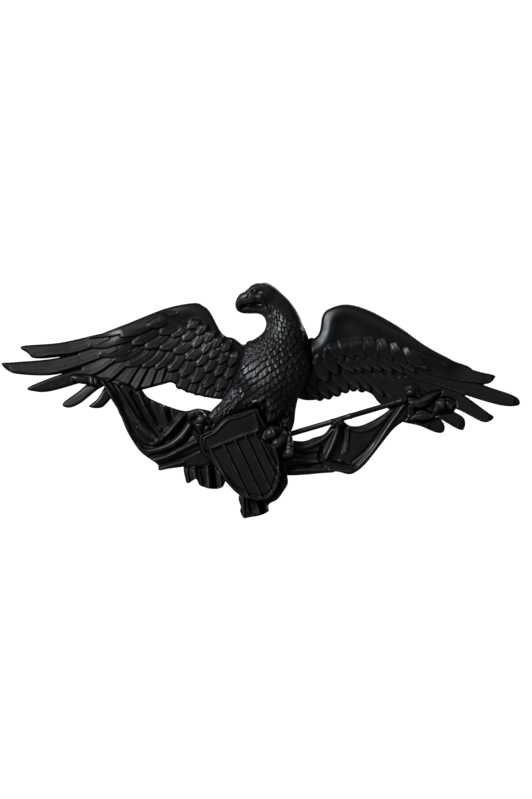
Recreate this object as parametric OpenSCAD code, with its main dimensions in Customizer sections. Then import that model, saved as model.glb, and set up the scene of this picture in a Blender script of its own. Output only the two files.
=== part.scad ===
// Eagle cap badge: relief castings riveted to a stay plate, held on a cap by two
// screw posts, each with a washer and a knurled nut.
// The wings lie along X, +Z is up and the face looks towards -Y.
// The origin is midway between the two posts, on the rear face of the stay plate.

/* [Badge] */
// Distance from wing tip to wing tip
wing_span = 75; // [68:1:90]
// How far one feather row stands above the row under it
feather_step = 0.35; // [0.2:0.05:0.45]

/* [Stay plate] */
// Thickness of the stay plate behind the castings
plate_t = 1.2; // [1.2:0.1:2.0]
// Length of the plate's cross bar
bar_w = 35; // [33:1:37]
// Height of the plate's cross bar
bar_h = 5.2; // [4.8:0.2:5.4]
// Radius of the round boss that carries each post
boss_r = 4; // [3.6:0.1:4.4]
// Width of the tongue that runs down behind the shield
tongue_w = 6; // [4:0.5:6]

/* [Screw posts] */
// Distance between the two posts
post_spacing = 24; // [20:1:26]
// Diameter of the smooth shoulder that passes through the cap
shoulder_d = 3.4; // [3:0.1:3.6]
// Length of the smooth shoulder behind the plate
shoulder_len = 2.5; // [2:0.1:3]
// Outer diameter of the thread
thread_d = 3.0; // [2.5:0.1:3]
// Length of the thread
thread_len = 6; // [5:0.5:8]

/* [Washers and nuts] */
// Outer diameter of a washer
washer_d = 9; // [8:0.5:10]
// Thickness of a washer
washer_t = 0.6; // [0.5:0.1:1]
// Outer diameter of a nut
nut_d = 8; // [7:0.5:9]
// Thickness of a nut
nut_t = 2.5; // [2:0.1:3]
// Number of knurl grooves round a nut
knurls = 24; // [16:2:26]

/* [Hidden] */

design_span = 75;
size = wing_span / design_span;
paint = "#202225";
brass = "#8a6a2c";
steel = "#6d7075";
seam = 0.03;
// how far a relief runs past its outline before it is cut to it
spare = 0.2;
// height of the pocket floor for ornaments that lie on a wing
pocket_h = 0.7;
relief_max = 8;

// Castings are drawn in the badge's plane, with the third axis towards the viewer
module face() {
    translate([0, -plate_t, 0])
        rotate([90, 0, 0])
            scale(size)
                children();
}

// A point on the curve between b and c, with a and d as its neighbours
function between(a, b, c, d, t) =
    0.5 * (2 * b + (c - a) * t + (2 * a - 5 * b + 4 * c - d) * t * t + (3 * b - 3 * c + d - a) * t * t * t);

// A smooth closed curve through the points
function closed_curve(p, n = 3) = [
    for (i = [0 : len(p) - 1])
        for (j = [0 : n - 1])
            between(p[(i + len(p) - 1) % len(p)], p[i], p[(i + 1) % len(p)], p[(i + 2) % len(p)], j / n)
];

// The point at fraction t of the smooth open curve through the points
function along(p, t) =
    let (
        last = len(p) - 2,
        s = min(max(t, 0), 1) * (last + 1),
        i = min(floor(s), last)
    )
    between(p[max(i - 1, 0)], p[i], p[i + 1], p[min(i + 2, last + 1)], s - i);

// A flat-backed slab of a 2D outline
module slab(h, spread = 0) {
    linear_extrude(h)
        offset(delta = spread)
            children();
}

// Keeps the first child inside the second, and clear of the rest
module fitted() {
    difference() {
        intersection() {
            children(0);
            slab(relief_max) children(1);
        }
        if ($children > 2)
            translate([0, 0, -1])
                slab(relief_max + 2, seam)
                    for (i = [2 : $children - 1]) children(i);
    }
}

// Takes a pocket out of the first child's front for the outlines that are laid on it
module pocketed() {
    difference() {
        children(0);
        translate([0, 0, pocket_h])
            slab(relief_max, seam)
                for (i = [1 : $children - 1]) children(i);
    }
}

// Lifts an ornament's flat back up to the floor of that pocket
module laid_on() {
    intersection() {
        children();
        translate([-50, -50, pocket_h + seam]) cube([100, 100, relief_max]);
    }
}

// A round-topped ridge that follows a curve of [x, y, height] points
module ridge(points, r_start, r_end, steps = 8) {
    for (i = [0 : steps - 1])
        hull()
            for (t = [i / steps, (i + 1) / steps])
                translate(along(points, t))
                    sphere(r_start + (r_end - r_start) * t, $fn = 9);
}

// One feather: a bevelled blade from its root to its tip
module feather(root, tip, width, h) {
    hull()
        for (s = [[0, 0.42], [0.55, 0.5], [0.88, 0.32], [1, 0.1]])
            translate([for (i = [0, 1]) root[i] + (tip[i] - root[i]) * s[0]])
                cylinder(h, r1 = width * s[1], r2 = width * s[1] * 0.55, $fn = 10);
}

// A row of feathers between a curve of roots and a curve of tips
module feather_row(roots, tips, count, width, h) {
    for (i = [0 : count - 1])
        feather(along(roots, i / (count - 1)), along(tips, i / (count - 1)), width, h + (i % 2) * 0.08);
}

// Outlines of the castings, in the badge's plane ---------------------------------

module body_area() {
    polygon(closed_curve([
        [-0.6, 9.72], [0.5, 9.62], [2.3, 8.25], [3.6, 6.9], [4.7, 5.3], [5.6, 3.4], [6.3, 1.6], [6.7, -1.5],
        [6.2, -4.5], [4.9, -6.6], [4.4, -8.5], [4.1, -10.8], [3, -12], [-2, -13], [-9.2, -12.1],
        [-9, -10.6], [-7.6, -8.6], [-6.2, -7.2], [-4.9, -5.4], [-3.9, -3], [-3.1, -0.2], [-2.6, 1.15],
        [-1.6, 1.5], [-0.3, 2.5], [0.15, 3.6], [0.05, 4.4], [-0.35, 5], [-1.1, 5.3], [-2.2, 5.3], [-3.3, 5.38],
        [-4, 5.75], [-4.28, 6.4], [-4.1, 7.25], [-3.65, 7.95], [-3, 8.4], [-2.5, 8.68], [-1.8, 9.35]
    ]));
}

module wing_left_area() {
    polygon(closed_curve([
        [-4, 1.4], [-5.6, 2], [-6.5, 2.9], [-7.9, 5.5], [-8.9, 6.4], [-10.3, 6.8], [-14.4, 6], [-19.4, 4],
        [-24.4, 2], [-27, 0.5], [-26, -3.6], [-22.3, -4.4], [-19.6, -5.2], [-18.4, -5.8], [-15, -5],
        [-13.4, -4.7], [-11.6, -5.9], [-8.8, -6.7], [-6.2, -7.1], [-2, -7.2], [-1, -2]
    ]));
    for (p = left_primaries) polygon(closed_curve(p));
    for (p = left_feather_ends) translate(p) circle(feather_end_r, $fn = 20);
}

// Feather ends that scallop the lower edge of each wing near the body
feather_end_r = 0.62;
left_feather_ends = [[-12.3, -5.03], [-11.1, -5.53], [-9.85, -5.93], [-8.6, -6.17], [-7.35, -6.33], [-6.1, -6.53]];
right_feather_ends = [[6.65, -6.6], [7.9, -6.73], [9.15, -6.53], [10.4, -6.13], [11.6, -5.63], [12.8, -5.37], [14, -5.5]];

// The five free blades of the left wing, from the top one down
left_primaries = [
    [[-35.1, 0.6], [-34.1, -0.5], [-32.9, -1.2], [-28, -0.7], [-23, 0.6], [-22, 2.6], [-29.5, 1.1]],
    [[-38, -1.9], [-37, -3], [-35.2, -3.5], [-30.9, -3.6], [-27, -2.7], [-22, -1], [-22, 0.8], [-30, -1.1],
        [-36.2, -1.7]],
    [[-34.1, -5.3], [-32.9, -6], [-30.9, -5.9], [-27.3, -4.9], [-23, -3.6], [-21, -1.6], [-28, -3]],
    [[-29.2, -7.7], [-28.3, -8.3], [-26.6, -7.6], [-24.2, -5.7], [-22, -4.4], [-24.7, -4.3], [-27, -6]],
    [[-25.4, -8.1], [-23.7, -8.3], [-22.3, -7], [-20.6, -4.6], [-22.6, -4.6], [-24.1, -6.9]]
];

module wing_right_area() {
    polygon(closed_curve([
        [6, 1.3], [7.2, 1.8], [7.9, 2.8], [8.3, 5], [9.3, 6], [11.8, 6.6], [15.1, 5.7], [19.4, 3.3],
        [23, 0.7], [26.9, -1.4], [30, -2.9], [29, -6.4], [25, -9], [20, -9.4], [17.1, -8],
        [16.2, -7.3], [15.2, -6.2], [12.6, -5.6], [9, -6.9], [5, -7], [3, -4]
    ]));
    for (p = right_primaries) polygon(closed_curve(p));
    for (p = right_feather_ends) translate(p) circle(feather_end_r, $fn = 20);
}

// The five free blades of the right wing, from the top one down
right_primaries = [
    [[25.1, -0.7], [28.6, -2.3], [31, -3.1], [32.8, -3.5], [33.2, -3.9], [31.8, -4.9], [27, -4.6]],
    [[28, -3.6], [31.8, -5.1], [35.6, -6.4], [36.7, -7.2], [36.4, -8], [33.8, -7.9], [28.4, -6.3], [25, -5]],
    [[26, -4.8], [28.9, -6.6], [32.2, -9], [33, -9.6], [32.5, -10.2], [31.3, -10.3], [28.4, -8.8], [24.5, -7]],
    [[24, -7.2], [27.2, -8.8], [28.7, -9.8], [28.8, -11.1], [27.9, -11.4], [24, -9.1], [22, -8]],
    [[21, -8.8], [24.6, -9.6], [25.8, -10.6], [25.8, -11.7], [24.8, -11.9], [22.3, -10.9], [19.7, -10.2]]
];

module shield_area() {
    polygon(closed_curve([
        [-9.4, -12.2], [-7.2, -11.1], [-5.6, -9.6], [-3.6, -8.9], [-1.1, -8.3], [-0.5, -9.5], [1, -12.1],
        [2, -15], [2.3, -17.3], [1.6, -20], [0.3, -21.4], [-1.6, -21.5], [-3.5, -20.9], [-5.6, -18.9],
        [-7.9, -15.8], [-9, -14.8]
    ]));
}

module draped_flag_area() {
    polygon(closed_curve([
        [-22.9, -4.6], [-22.6, -6.2], [-21.1, -8.6], [-19.8, -11.8], [-18, -14.6], [-15.6, -16.4],
        [-15.3, -17.3], [-13.9, -17.1], [-11.6, -16.8], [-8, -16.4], [-6, -12], [-6, -9.6], [-9.4, -8.4],
        [-11.9, -8.7], [-16.5, -7], [-18, -5.4], [-20, -4]
    ]));
}

module guidon_area() {
    polygon(closed_curve([
        [1.55, -13.25], [5.5, -13.1], [7, -12.6], [8.5, -12.1], [9.4, -11], [10.2, -9.9], [11, -9.9], [12.1, -10.8],
        [13.6, -10.9], [15.4, -10.2], [17.1, -9.2], [18.4, -8.3], [20.5, -7.6], [20.7, -8.9], [20, -10.2],
        [18.4, -11.5], [15.8, -14.8], [14.4, -16.5], [13.2, -17.5], [12.1, -17.9], [10.3, -17.5], [8.9, -17.7],
        [1.55, -17.75]
    ]));
}

module foot_left_area() {
    polygon(closed_curve([
        [-11.2, -9], [-10.4, -8.6], [-9.2, -8.7], [-8.3, -9.5], [-7.5, -10.7], [-8.6, -12], [-9.6, -11.9],
        [-10.1, -11], [-11, -10.2]
    ]));
}

module foot_right_area() {
    polygon(closed_curve([
        [0.2, -11], [1.6, -11], [3.2, -11.4], [3.9, -12.4], [4.1, -14], [4.2, -15], [3.2, -15.6], [2.3, -15.2],
        [1.4, -13.9], [0.2, -13.2], [-0.6, -12.4]
    ]));
}

module streamer_area() {
    polygon(closed_curve([
        [20.9, -10.3], [21.3, -9.2], [22.6, -8.6], [24, -8.9], [24.4, -8], [24.6, -7], [26, -6.8],
        [27.4, -7.3], [27.3, -8.8], [25.4, -9.3], [24, -9.9], [22.6, -10.6]
    ]));
}

module right_spearhead_area() {
    polygon(closed_curve([
        [20.6, -6.8], [22.2, -6.9], [23.8, -6.1], [25.4, -5.9], [24.6, -7], [23.4, -8.1], [22, -8.6], [21, -8.3]
    ], 2));
}

module left_spearhead_area() {
    polygon(closed_curve([
        [-28, -3.7], [-26.4, -3.6], [-25, -3.7], [-23.6, -4.3], [-23.5, -5.2], [-25.2, -5], [-27, -4.7]
    ], 2));
}

module right_staff_area() {
    translate([3.2, -12.2])
        rotate(16.5)
            translate([0, -0.42])
                square([18, 0.84]);
}

// Castings ---------------------------------------------------------------------

module stay_plate() {
    color(brass)
        difference() {
            rotate([90, 0, 0])
                linear_extrude(plate_t)
                    stay_plate_outline();
            for (x = [-1, 1] * post_spacing / 2) {
                translate([x, 1, 0]) rotate([90, 0, 0]) cylinder(plate_t + 2, r = neck_r + 0.02, $fn = 48);
                translate([x, -plate_t + head_t, 0])
                    rotate([90, 0, 0])
                        cylinder(plate_t, r = head_r + 0.05, $fn = 48);
            }
            rivet_pins(0.05);
        }
}

// A round-ended cross bar with a boss at each post and a round-ended tongue below it
module stay_plate_outline() {
    end_x = (bar_w * size - bar_h) / 2;
    translate([0, bar_z]) square([2 * end_x, bar_h], center = true);
    for (x = [-end_x, end_x]) translate([x, bar_z]) circle(bar_h / 2, $fn = 48);
    for (x = [-1, 1] * post_spacing / 2) translate([x, 0]) circle(boss_r, $fn = 48);
    translate([tongue_x * size - tongue_w / 2, tongue_low * size]) square([tongue_w, -tongue_low * size - 1]);
    translate([tongue_x * size, tongue_low * size]) circle(tongue_w / 2, $fn = 48);
}

bar_z = -1.75;
tongue_x = -3.2;
tongue_low = -15.5;

// The rivets' places in the badge's plane, with the length each runs into its casting
rivet_places = [[-16.2, -1.9, 0.5], [-7, -1.9, 0.5], [0, -1.9, 1.2], [7.6, -1.9, 0.5], [16.2, -1.9, 0.5],
    [-3.2, -11.5, 1.2], [-3.2, -16, 1.2]];
rivet_r = 0.6;

module rivet_pins(clear = 0) {
    for (p = rivet_places)
        translate([p[0] * size, clear, p[1] * size])
            rotate([90, 0, 0])
                cylinder(plate_t + p[2] + 2 * clear, r = rivet_r + clear, $fn = 24);
}

module rivets() {
    color(brass) rivet_pins();
}

// Takes the rivet holes out of a casting
module riveted() {
    difference() {
        children();
        rivet_pins(seam);
    }
}

// The torso, neck, head and thighs
module eagle_body() {
    color(paint) riveted() face()
        fitted() {
            eagle_form();
            body_area();
            shield_area();
            foot_left_area();
            foot_right_area();
        }
}

// Balls as [x, y, height, radius]; each chain is hulled pair by pair
torso_chain = [[-0.5, 7.4, 1.9, 2.2], [1.2, 6.7, 1.9, 2.4], [2.7, 4.3, 1.7, 2.6], [2.9, 1.4, 1.4, 3.5],
    [1.5, -2, 0.6, 5.1], [0.9, -5.6, 0.4, 4.5]];
beak_chain = [[-1.3, 7.2, 2, 1.7], [-2.6, 6.9, 2.1, 1.2], [-3.4, 6.5, 2.1, 0.8], [-3.5, 6, 2.1, 0.5]];
left_thigh_chain = [[-2.2, -4.6, 1, 2.9], [-5, -7, 1.2, 2.1], [-7.4, -9.6, 1.4, 1.6], [-8.3, -11.2, 1.4, 1.2]];
right_thigh_chain = [[2.4, -5.5, 1, 2.9], [3, -8.4, 1.2, 1.7], [3, -11.4, 1.4, 1.2]];

module chain(balls) {
    for (i = [0 : len(balls) - 2])
        hull()
            for (b = [balls[i], balls[i + 1]])
                translate([b[0], b[1], b[2]])
                    sphere(b[3], $fn = 26);
}

module eagle_form() {
    slab(1.3, spare) body_area();
    chain(torso_chain);
    chain(beak_chain);
    chain(left_thigh_chain);
    chain(right_thigh_chain);
    // brow over the eye
    ridge([[-0.2, 8.6, 3.4], [-1.3, 8.4, 3.5], [-2.4, 7.8, 3.1]], 0.45, 0.3, 3);
    translate([-1.3, 7.9, 3.5]) sphere(0.3, $fn = 10);
    breast_scales();
}

// Rows of small scale feathers wrapped round the neck and breast
module breast_scales() {
    for (row = [0 : 9]) {
        b = along(torso_chain, 0.34 + 0.07 * row);
        for (turn = [-66 : 22 : 66])
            translate([
                b[0] + b[3] * sin(turn + 11 * (row % 2)) * 0.96,
                b[1],
                b[2] + b[3] * cos(turn + 11 * (row % 2)) * 0.96
            ])
                sphere(0.4 + 0.05 * row, $fn = 8);
    }
}

module wing_left() {
    color(paint) riveted() face()
        pocketed() {
            fitted() {
                wing_left_relief();
                wing_left_area();
                body_area();
            }
            left_spearhead_area();
        }
}

module wing_left_relief() {
    slab(1, spare) wing_left_area();
    for (i = [0 : 4])
        slab(1.3 + 0.1 * (i % 2), -0.12)
            polygon(closed_curve(left_primaries[i]));
    // secondaries
    feather_row([[-20.5, -1.5], [-16, -2.3], [-12.5, -3], [-8, -3.8], [-4.5, -4.8]],
        [[-23.6, -3.8], [-19.4, -5], [-16.4, -5.4], [-12, -5.6], [-6, -6.8]], 13, 1.5, 1.4);
    // greater, middle and lesser coverts
    feather_row([[-19, 1.4], [-14.5, 0.6], [-11, 0], [-7.5, -1], [-4, -2.4]],
        [[-23.5, -1], [-18, -2.2], [-14, -2.6], [-9, -3.8], [-5, -5]], 12, 1.5, 1.4 + feather_step);
    feather_row([[-16.5, 3], [-13, 2.6], [-9.6, 1.6], [-6, 0]],
        [[-20.6, 0.8], [-16, -0.2], [-12, -0.8], [-6.4, -2.6]], 9, 1.5, 1.4 + 2 * feather_step);
    feather_row([[-14, 4.6], [-11.4, 3.8], [-8, 2.4]],
        [[-18, 2.6], [-13.4, 1.6], [-8.6, -0.2]], 6, 1.5, 1.4 + 3 * feather_step);
    // arm from the wrist to the shoulder
    ridge([[-22, 2.6, 0.8], [-15, 5, 1], [-10.2, 5.6, 1.1], [-8, 3.6, 1.1], [-5.4, 1, 0.9]], 0.6, 1.6, 9);
    ridge([[-27, 1.2, 0.9], [-22, 2.4, 1], [-16, 4.2, 1.2]], 0.3, 0.8, 4);
}

module wing_right() {
    color(paint) riveted() face()
        pocketed() {
            fitted() {
                wing_right_relief();
                wing_right_area();
                body_area();
            }
            right_staff_area();
            streamer_area();
            right_spearhead_area();
            tassel_area();
            guidon_area();
        }
}

module wing_right_relief() {
    slab(1, spare) wing_right_area();
    for (i = [0 : 4])
        slab(1.3 + 0.1 * (i % 2), -0.12)
            polygon(closed_curve(right_primaries[i]));
    // secondaries
    feather_row([[5.6, -4.4], [10, -4], [14.5, -3.2], [19, -3.6]],
        [[5.4, -6.6], [9.6, -6.4], [14, -6], [17, -7.4], [20.2, -7.6]], 12, 1.5, 1.4);
    // greater and middle coverts
    feather_row([[8, -1], [12, -0.6], [16, -0.4], [20, -0.6]],
        [[8.8, -3.6], [13, -3.2], [17, -3], [21.5, -3.2]], 9, 1.5, 1.4 + feather_step);
    feather_row([[9.6, 2], [13, 2], [17, 1.6]],
        [[11.4, -0.4], [15, -0.4], [19.5, -0.6]], 7, 1.6, 1.4 + 2 * feather_step);
    // long blades towards the tip
    feather_row([[19, -0.6], [20, -2.4], [20, -4.4]], [[31, -3.6], [33, -6.4], [30, -8.6]], 3, 2, 1.5);
    // arm from the shoulder round the wrist
    ridge([[7.6, -1, 1], [9, 2, 1.1], [9.4, 4.6, 1.2]], 1.5, 1.3, 4);
    ridge([[9.4, 4.6, 1.1], [12, 5.4, 1], [17, 3.6, 0.8], [25, -1, 0.7]], 1.3, 0.5, 6);
}

// Clawed toes that close over what the eagle stands on
module foot_left() {
    color(paint) face()
        fitted() {
            foot_left_form();
            foot_left_area();
        }
}

module foot_left_form() {
    slab(2.4, spare) foot_left_area();
    ridge([[-8.4, -9.8, 2.5], [-9.6, -9.1, 2.9], [-10.6, -9.4, 2.3]], 0.75, 0.5, 5);
    ridge([[-8.2, -10.55, 2.5], [-8.9, -10.35, 3], [-9.3, -11.4, 2.3]], 0.75, 0.5, 5);
}

module foot_right() {
    color(paint) face()
        fitted() {
            foot_right_form();
            foot_right_area();
        }
}

module foot_right_form() {
    slab(2.6, spare) foot_right_area();
    ridge([[2.6, -11.8, 3], [1, -11.7, 3.6], [-0.1, -12.6, 3.2]], 0.8, 0.45, 3);
    ridge([[2.8, -12.2, 3], [2, -13, 3.7], [1, -13.7, 3.2]], 0.8, 0.45, 3);
    ridge([[3.2, -12.6, 3], [3.5, -14.2, 3.5], [2.7, -15.2, 3]], 0.8, 0.45, 3);
}

// Tilted shield with raised pales; the applied chief sits in a flat across its top
module shield() {
    color(paint) riveted() face()
        difference() {
            union() {
                slab(shield_h) shield_area();
                intersection() {
                    pales();
                    slab(relief_max, -0.35) shield_area();
                }
                difference() {
                    slab(shield_h + 0.3) shield_area();
                    slab(shield_h + 1, -0.4) shield_area();
                }
            }
            translate([0, 0, shield_h - 0.3]) slab(2, seam) chief_area();
            translate([0, 0, -1]) slab(relief_max, seam) {
                foot_left_area();
                foot_right_area();
            }
        }
}

shield_h = 3.4;
shield_lean = 24;

module pales() {
    for (i = [0 : 5])
        translate([-8.1 + 1.45 * i, -14.6 + 0.55 * i, 0])
            rotate(shield_lean)
                hull() {
                    translate([-0.3, -10, 0]) cube([0.6, 11, shield_h]);
                    translate([-0.12, -10, 0]) cube([0.24, 11, shield_h + 0.35]);
                }
}

// The band across the top of the shield
module chief_area() {
    intersection() {
        offset(delta = -0.45) shield_area();
        translate([-9, -14.4]) rotate(21.5) square([12, 8]);
    }
}

module shield_chief() {
    color(paint) face()
        translate([0, 0, shield_h - 0.3])
            difference() {
                slab(0.9, -0.05) intersection() {
                    chief_area();
                    difference() {
                        square(100, center = true);
                        offset(delta = seam) foot_right_area();
                    }
                }
                translate([0, 0, 0.6]) slab(1, -0.6) chief_area();
            }
}

// Flag hanging in swags from under the left wing to the left foot
module draped_flag() {
    color(paint) face()
        fitted() {
            draped_flag_relief();
            draped_flag_area();
            wing_left_area();
            offset(delta = 0.15) body_area();
            foot_left_area();
            shield_area();
        }
}

module draped_flag_relief() {
    slab(1.1, spare) draped_flag_area();
    // folds that run down from the wing
    ridge([[-23.4, -4.8, 1], [-21.4, -8, 1.2], [-19, -12, 1.2], [-16.5, -15, 1]], 0.45, 0.6, 7);
    ridge([[-21.6, -5, 1.2], [-19.6, -8.6, 1.5], [-17.6, -11.6, 1.6], [-15.4, -13.2, 1.4]], 0.4, 0.7, 7);
    ridge([[-19.6, -5.6, 1], [-18, -8.4, 1.3], [-16.4, -11, 1.2]], 0.35, 0.4, 4);
    ridge([[-17.6, -6.4, 1], [-16.6, -9.2, 1.3], [-15.4, -11.6, 1.2]], 0.35, 0.4, 4);
    ridge([[-14.6, -7.8, 1], [-14.2, -9.8, 1.2], [-13.2, -11.4, 1.2]], 0.3, 0.3, 3);
    // folds that sweep up to the foot
    ridge([[-16.4, -13.6, 1.3], [-14.6, -12.8, 1.6], [-12.6, -10.8, 1.7], [-11, -9.2, 1.6]], 0.5, 0.6, 6);
    ridge([[-16.8, -15, 1.1], [-13, -14.2, 1.5], [-10.4, -11.6, 1.6], [-9.6, -9.6, 1.5]], 0.5, 0.7, 6);
    ridge([[-15.6, -16.2, 1], [-12, -15.6, 1.3], [-9.8, -14, 1.4]], 0.4, 0.6, 5);
}

// Spearhead finial and collar of the flag's own staff, laid on the wing's lower blades
module draped_flag_spearhead() {
    color(paint) face()
        laid_on() fitted() {
            union() {
                slab(1.3, spare) left_spearhead_area();
                ridge([[-27.8, -3.9, 1.2], [-26.4, -4.2, 1.5], [-25.2, -4.4, 1.3]], 0.12, 0.5, 6);
                ridge([[-24.8, -3.9, 1.3], [-24.5, -4.5, 1.7], [-24.3, -5.1, 1.3]], 0.35, 0.35, 2);
            }
            left_spearhead_area();
            draped_flag_area();
        }
}

module flag_tail_left_area() {
    polygon(closed_curve([
        [-11.5, -16.2], [-11.5, -18.6], [-11.1, -19.2], [-10.4, -18.8], [-9.9, -18.6], [-9.4, -19.5], [-8.2, -19.9],
        [-6.8, -20], [-5.8, -19.2], [-5.4, -16], [-8, -14.6]
    ]));
}

// Box-pleated end of the flag, beside the shield
module flag_tail_left() {
    color(paint) face()
        fitted() {
            union() {
                slab(0.8, spare) flag_tail_left_area();
                pleats([[-11, -17.6], [-9.8, -17.5], [-8.7, -18], [-7.6, -18.2], [-6.5, -18.5]], 80, 2.6, 0.5);
            }
            flag_tail_left_area();
            offset(delta = 0.1) draped_flag_area();
            shield_area();
        }
}

// Round pleats side by side, each running along the same direction
module pleats(places, angle, length, r) {
    for (p = places)
        for (half = [-1, 1])
            hull()
                for (s = [0, half])
                    translate([p[0] + s * cos(angle) * length / 2, p[1] + s * sin(angle) * length / 2, 0.9])
                        sphere(r, $fn = 12);
}

module flag_tail_lower_area() {
    polygon(closed_curve([
        [-3.6, -20.6], [-3.5, -22.6], [-3.6, -23.2], [-3.1, -24.2], [-2.2, -24.1], [-0.6, -23.8], [0.5, -23.2],
        [0.6, -22.2], [1.8, -21.5], [2.9, -20], [3.3, -19.2], [3.2, -18], [2.6, -17], [0, -17]
    ]));
}

// Box-pleated end of the flag under the shield, with a row of beads up the right side
module flag_tail_lower() {
    color(paint) face()
        fitted() {
            union() {
                slab(0.8, spare) flag_tail_lower_area();
                pleats([[-2.9, -22.2], [-1.9, -22.3], [-0.9, -22.2], [0, -21.8]], 84, 3, 0.5);
                for (b = [[1.5, -20.95], [2.2, -20.25], [2.7, -19.35]])
                    translate([b[0], b[1], 1]) sphere(0.55, $fn = 12);
            }
            flag_tail_lower_area();
            shield_area();
            guidon_area();
        }
}

// Guidon hanging from the right staff, gathered in by a fold beside its tie
module guidon() {
    color(paint) face()
        fitted() {
            difference() {
                guidon_relief();
                translate([0, 0, -1]) slab(pocket_h + 1 + seam, seam) wing_right_area();
            }
            guidon_area();
            right_staff_area();
            foot_right_area();
            shield_area();
            streamer_area();
            right_spearhead_area();
            tassel_area();
        }
}

module guidon_relief() {
    slab(1.1, spare) guidon_area();
    ridge([[10.4, -10, 1.1], [10.2, -12, 1.4], [9, -14.4, 1.6], [8.6, -15.6, 1.3]], 0.5, 0.5, 5);
    ridge([[3.4, -15, 1.4], [6, -15.2, 1.4], [8.4, -15.8, 1.1]], 0.9, 0.4, 4);
    ridge([[3.4, -17, 1], [6, -16.8, 1.2], [9, -17, 1]], 0.5, 0.4, 4);
    ridge([[9.4, -16.4, 1], [11, -17, 1.1], [12.4, -17.4, 0.9]], 0.4, 0.3, 4);
    ridge([[20, -9, 1], [17.4, -12, 1.1], [14.4, -15.6, 1.1], [12.6, -17, 1]], 0.5, 0.4, 6);
    ridge([[19.6, -8, 1], [16, -10.4, 1], [12.4, -11.6, 1]], 0.3, 0.4, 4);
    ridge([[4.4, -13.8, 1], [6.6, -13.6, 1.1], [8.8, -12.6, 1.1]], 0.4, 0.4, 3);
}

module guidon_staff() {
    color(paint)
        difference() {
            face()
                translate([3.2, -12.2, pocket_h + 0.45])
                    rotate([0, 0, 16.5])
                        rotate([0, 90, 0])
                            cylinder(18, r = 0.4, $fn = 32);
            face() translate([0, 0, -1]) slab(relief_max, seam) {
                foot_right_area();
                right_spearhead_area();
                tassel_area();
                body_area();
            }
        }
}

module guidon_spearhead() {
    color(paint) face()
        laid_on() fitted() {
            union() {
                ridge([[20.8, -7.4, 1.2], [22.6, -7.5, 1.7], [24, -7, 1.6], [25.3, -6.1, 1.2]], 0.6, 0.2, 6);
                slab(1.4, spare) right_spearhead_area();
            }
            right_spearhead_area();
            tassel_area();
        }
}

module tassel_area() {
    polygon(closed_curve([[20.2, -5.4], [20.9, -5.1], [21.6, -5.5], [21.6, -6.3], [21, -6.7], [20.3, -6.4]]));
    polygon(closed_curve([[20.7, -7.9], [21.3, -7.9], [21.5, -8.8], [21.3, -9.5], [20.7, -9.4], [20.5, -8.7]]));
}

// Cord knot above the staff and fringed tassel under it
module guidon_tassels() {
    color(paint) face()
        laid_on() fitted() {
            union() {
                ridge([[20.4, -5.6, 1.5], [21, -5.3, 1.9], [21.5, -5.9, 1.6]], 0.32, 0.3, 4);
                ridge([[20.5, -6.3, 1.4], [21, -6, 1.8], [21.4, -6.5, 1.3]], 0.3, 0.28, 4);
                for (s = [-1, 0, 1])
                    ridge([[21, -7.8, 1.5], [21 + 0.3 * s, -9.5, 1.2]], 0.27, 0.21, 1);
                slab(1.2, spare) tassel_area();
            }
            tassel_area();
        }
}

// Loose end of the guidon, caught up in two bulges past the staff
module guidon_streamer() {
    color(paint) face()
        laid_on() fitted() {
            union() {
                slab(1.2, spare) streamer_area();
                ridge([[21.4, -9.8, 0.9], [22.6, -9.5, 1.2], [24.4, -9.7, 0.9]], 0.7, 0.5, 4);
                ridge([[24.6, -8.4, 1], [25.4, -7.7, 1.3], [26.8, -8, 1]], 0.8, 0.6, 4);
            }
            streamer_area();
            right_spearhead_area();
            tassel_area();
        }
}

// Fixings ------------------------------------------------------------------------

head_r = 2.6;
head_t = 0.5;
neck_r = 1.9;
thread_end = shoulder_len + thread_len;
chamfer = 0.3;

// Screw post: head let into the plate's front, shoulder and thread behind it
module post(side) {
    color(brass)
        translate([side * post_spacing / 2, 0, 0])
            rotate([-90, 0, 0])
                rotate_extrude($fn = 64)
                    polygon([
                        [0, -plate_t], [head_r, -plate_t], [head_r, -plate_t + head_t], [neck_r, -plate_t + head_t],
                        [neck_r, 0], [shoulder_d / 2, 0], [shoulder_d / 2, shoulder_len],
                        [thread_d / 2, shoulder_len], [thread_d / 2, thread_end - chamfer],
                        [thread_d / 2 - chamfer, thread_end], [0, thread_end]
                    ]);
}

module post_left() post(-1);
module post_right() post(1);

washer_y = shoulder_len + 0.1;
bore_clear = 0.12;

// Plain washer between the cap's lining and the nut
module washer(side) {
    color(brass)
        translate([side * post_spacing / 2, washer_y, 0])
            rotate([-90, 0, 0])
                difference() {
                    cylinder(washer_t, r = washer_d / 2, $fn = 64);
                    translate([0, 0, -1]) cylinder(washer_t + 2, r = thread_d / 2 + bore_clear, $fn = 48);
                }
}

module washer_left() washer(-1);
module washer_right() washer(1);

nut_y = washer_y + washer_t + 0.02;
nut_clear = 0.06;
knurl_r = 0.35;

// Round nut with a knurled rim and a raised collar on the outer face
module nut(side) {
    color(brass)
        translate([side * post_spacing / 2, nut_y, 0])
            rotate([-90, 0, 0])
                difference() {
                    union() {
                        cylinder(nut_t * 0.8, r = nut_d / 2, $fn = 72);
                        cylinder(nut_t, r = nut_d * 0.32, $fn = 48);
                    }
                    translate([0, 0, -1]) cylinder(nut_t + 2, r = thread_d / 2 + nut_clear, $fn = 48);
                    for (i = [0 : knurls - 1])
                        rotate(i * 360 / knurls)
                            translate([nut_d / 2 + knurl_r * 0.3, 0, -1])
                                cylinder(nut_t + 2, r = knurl_r, $fn = 16);
                }
}

module nut_left() nut(-1);
module nut_right() nut(1);

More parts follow.
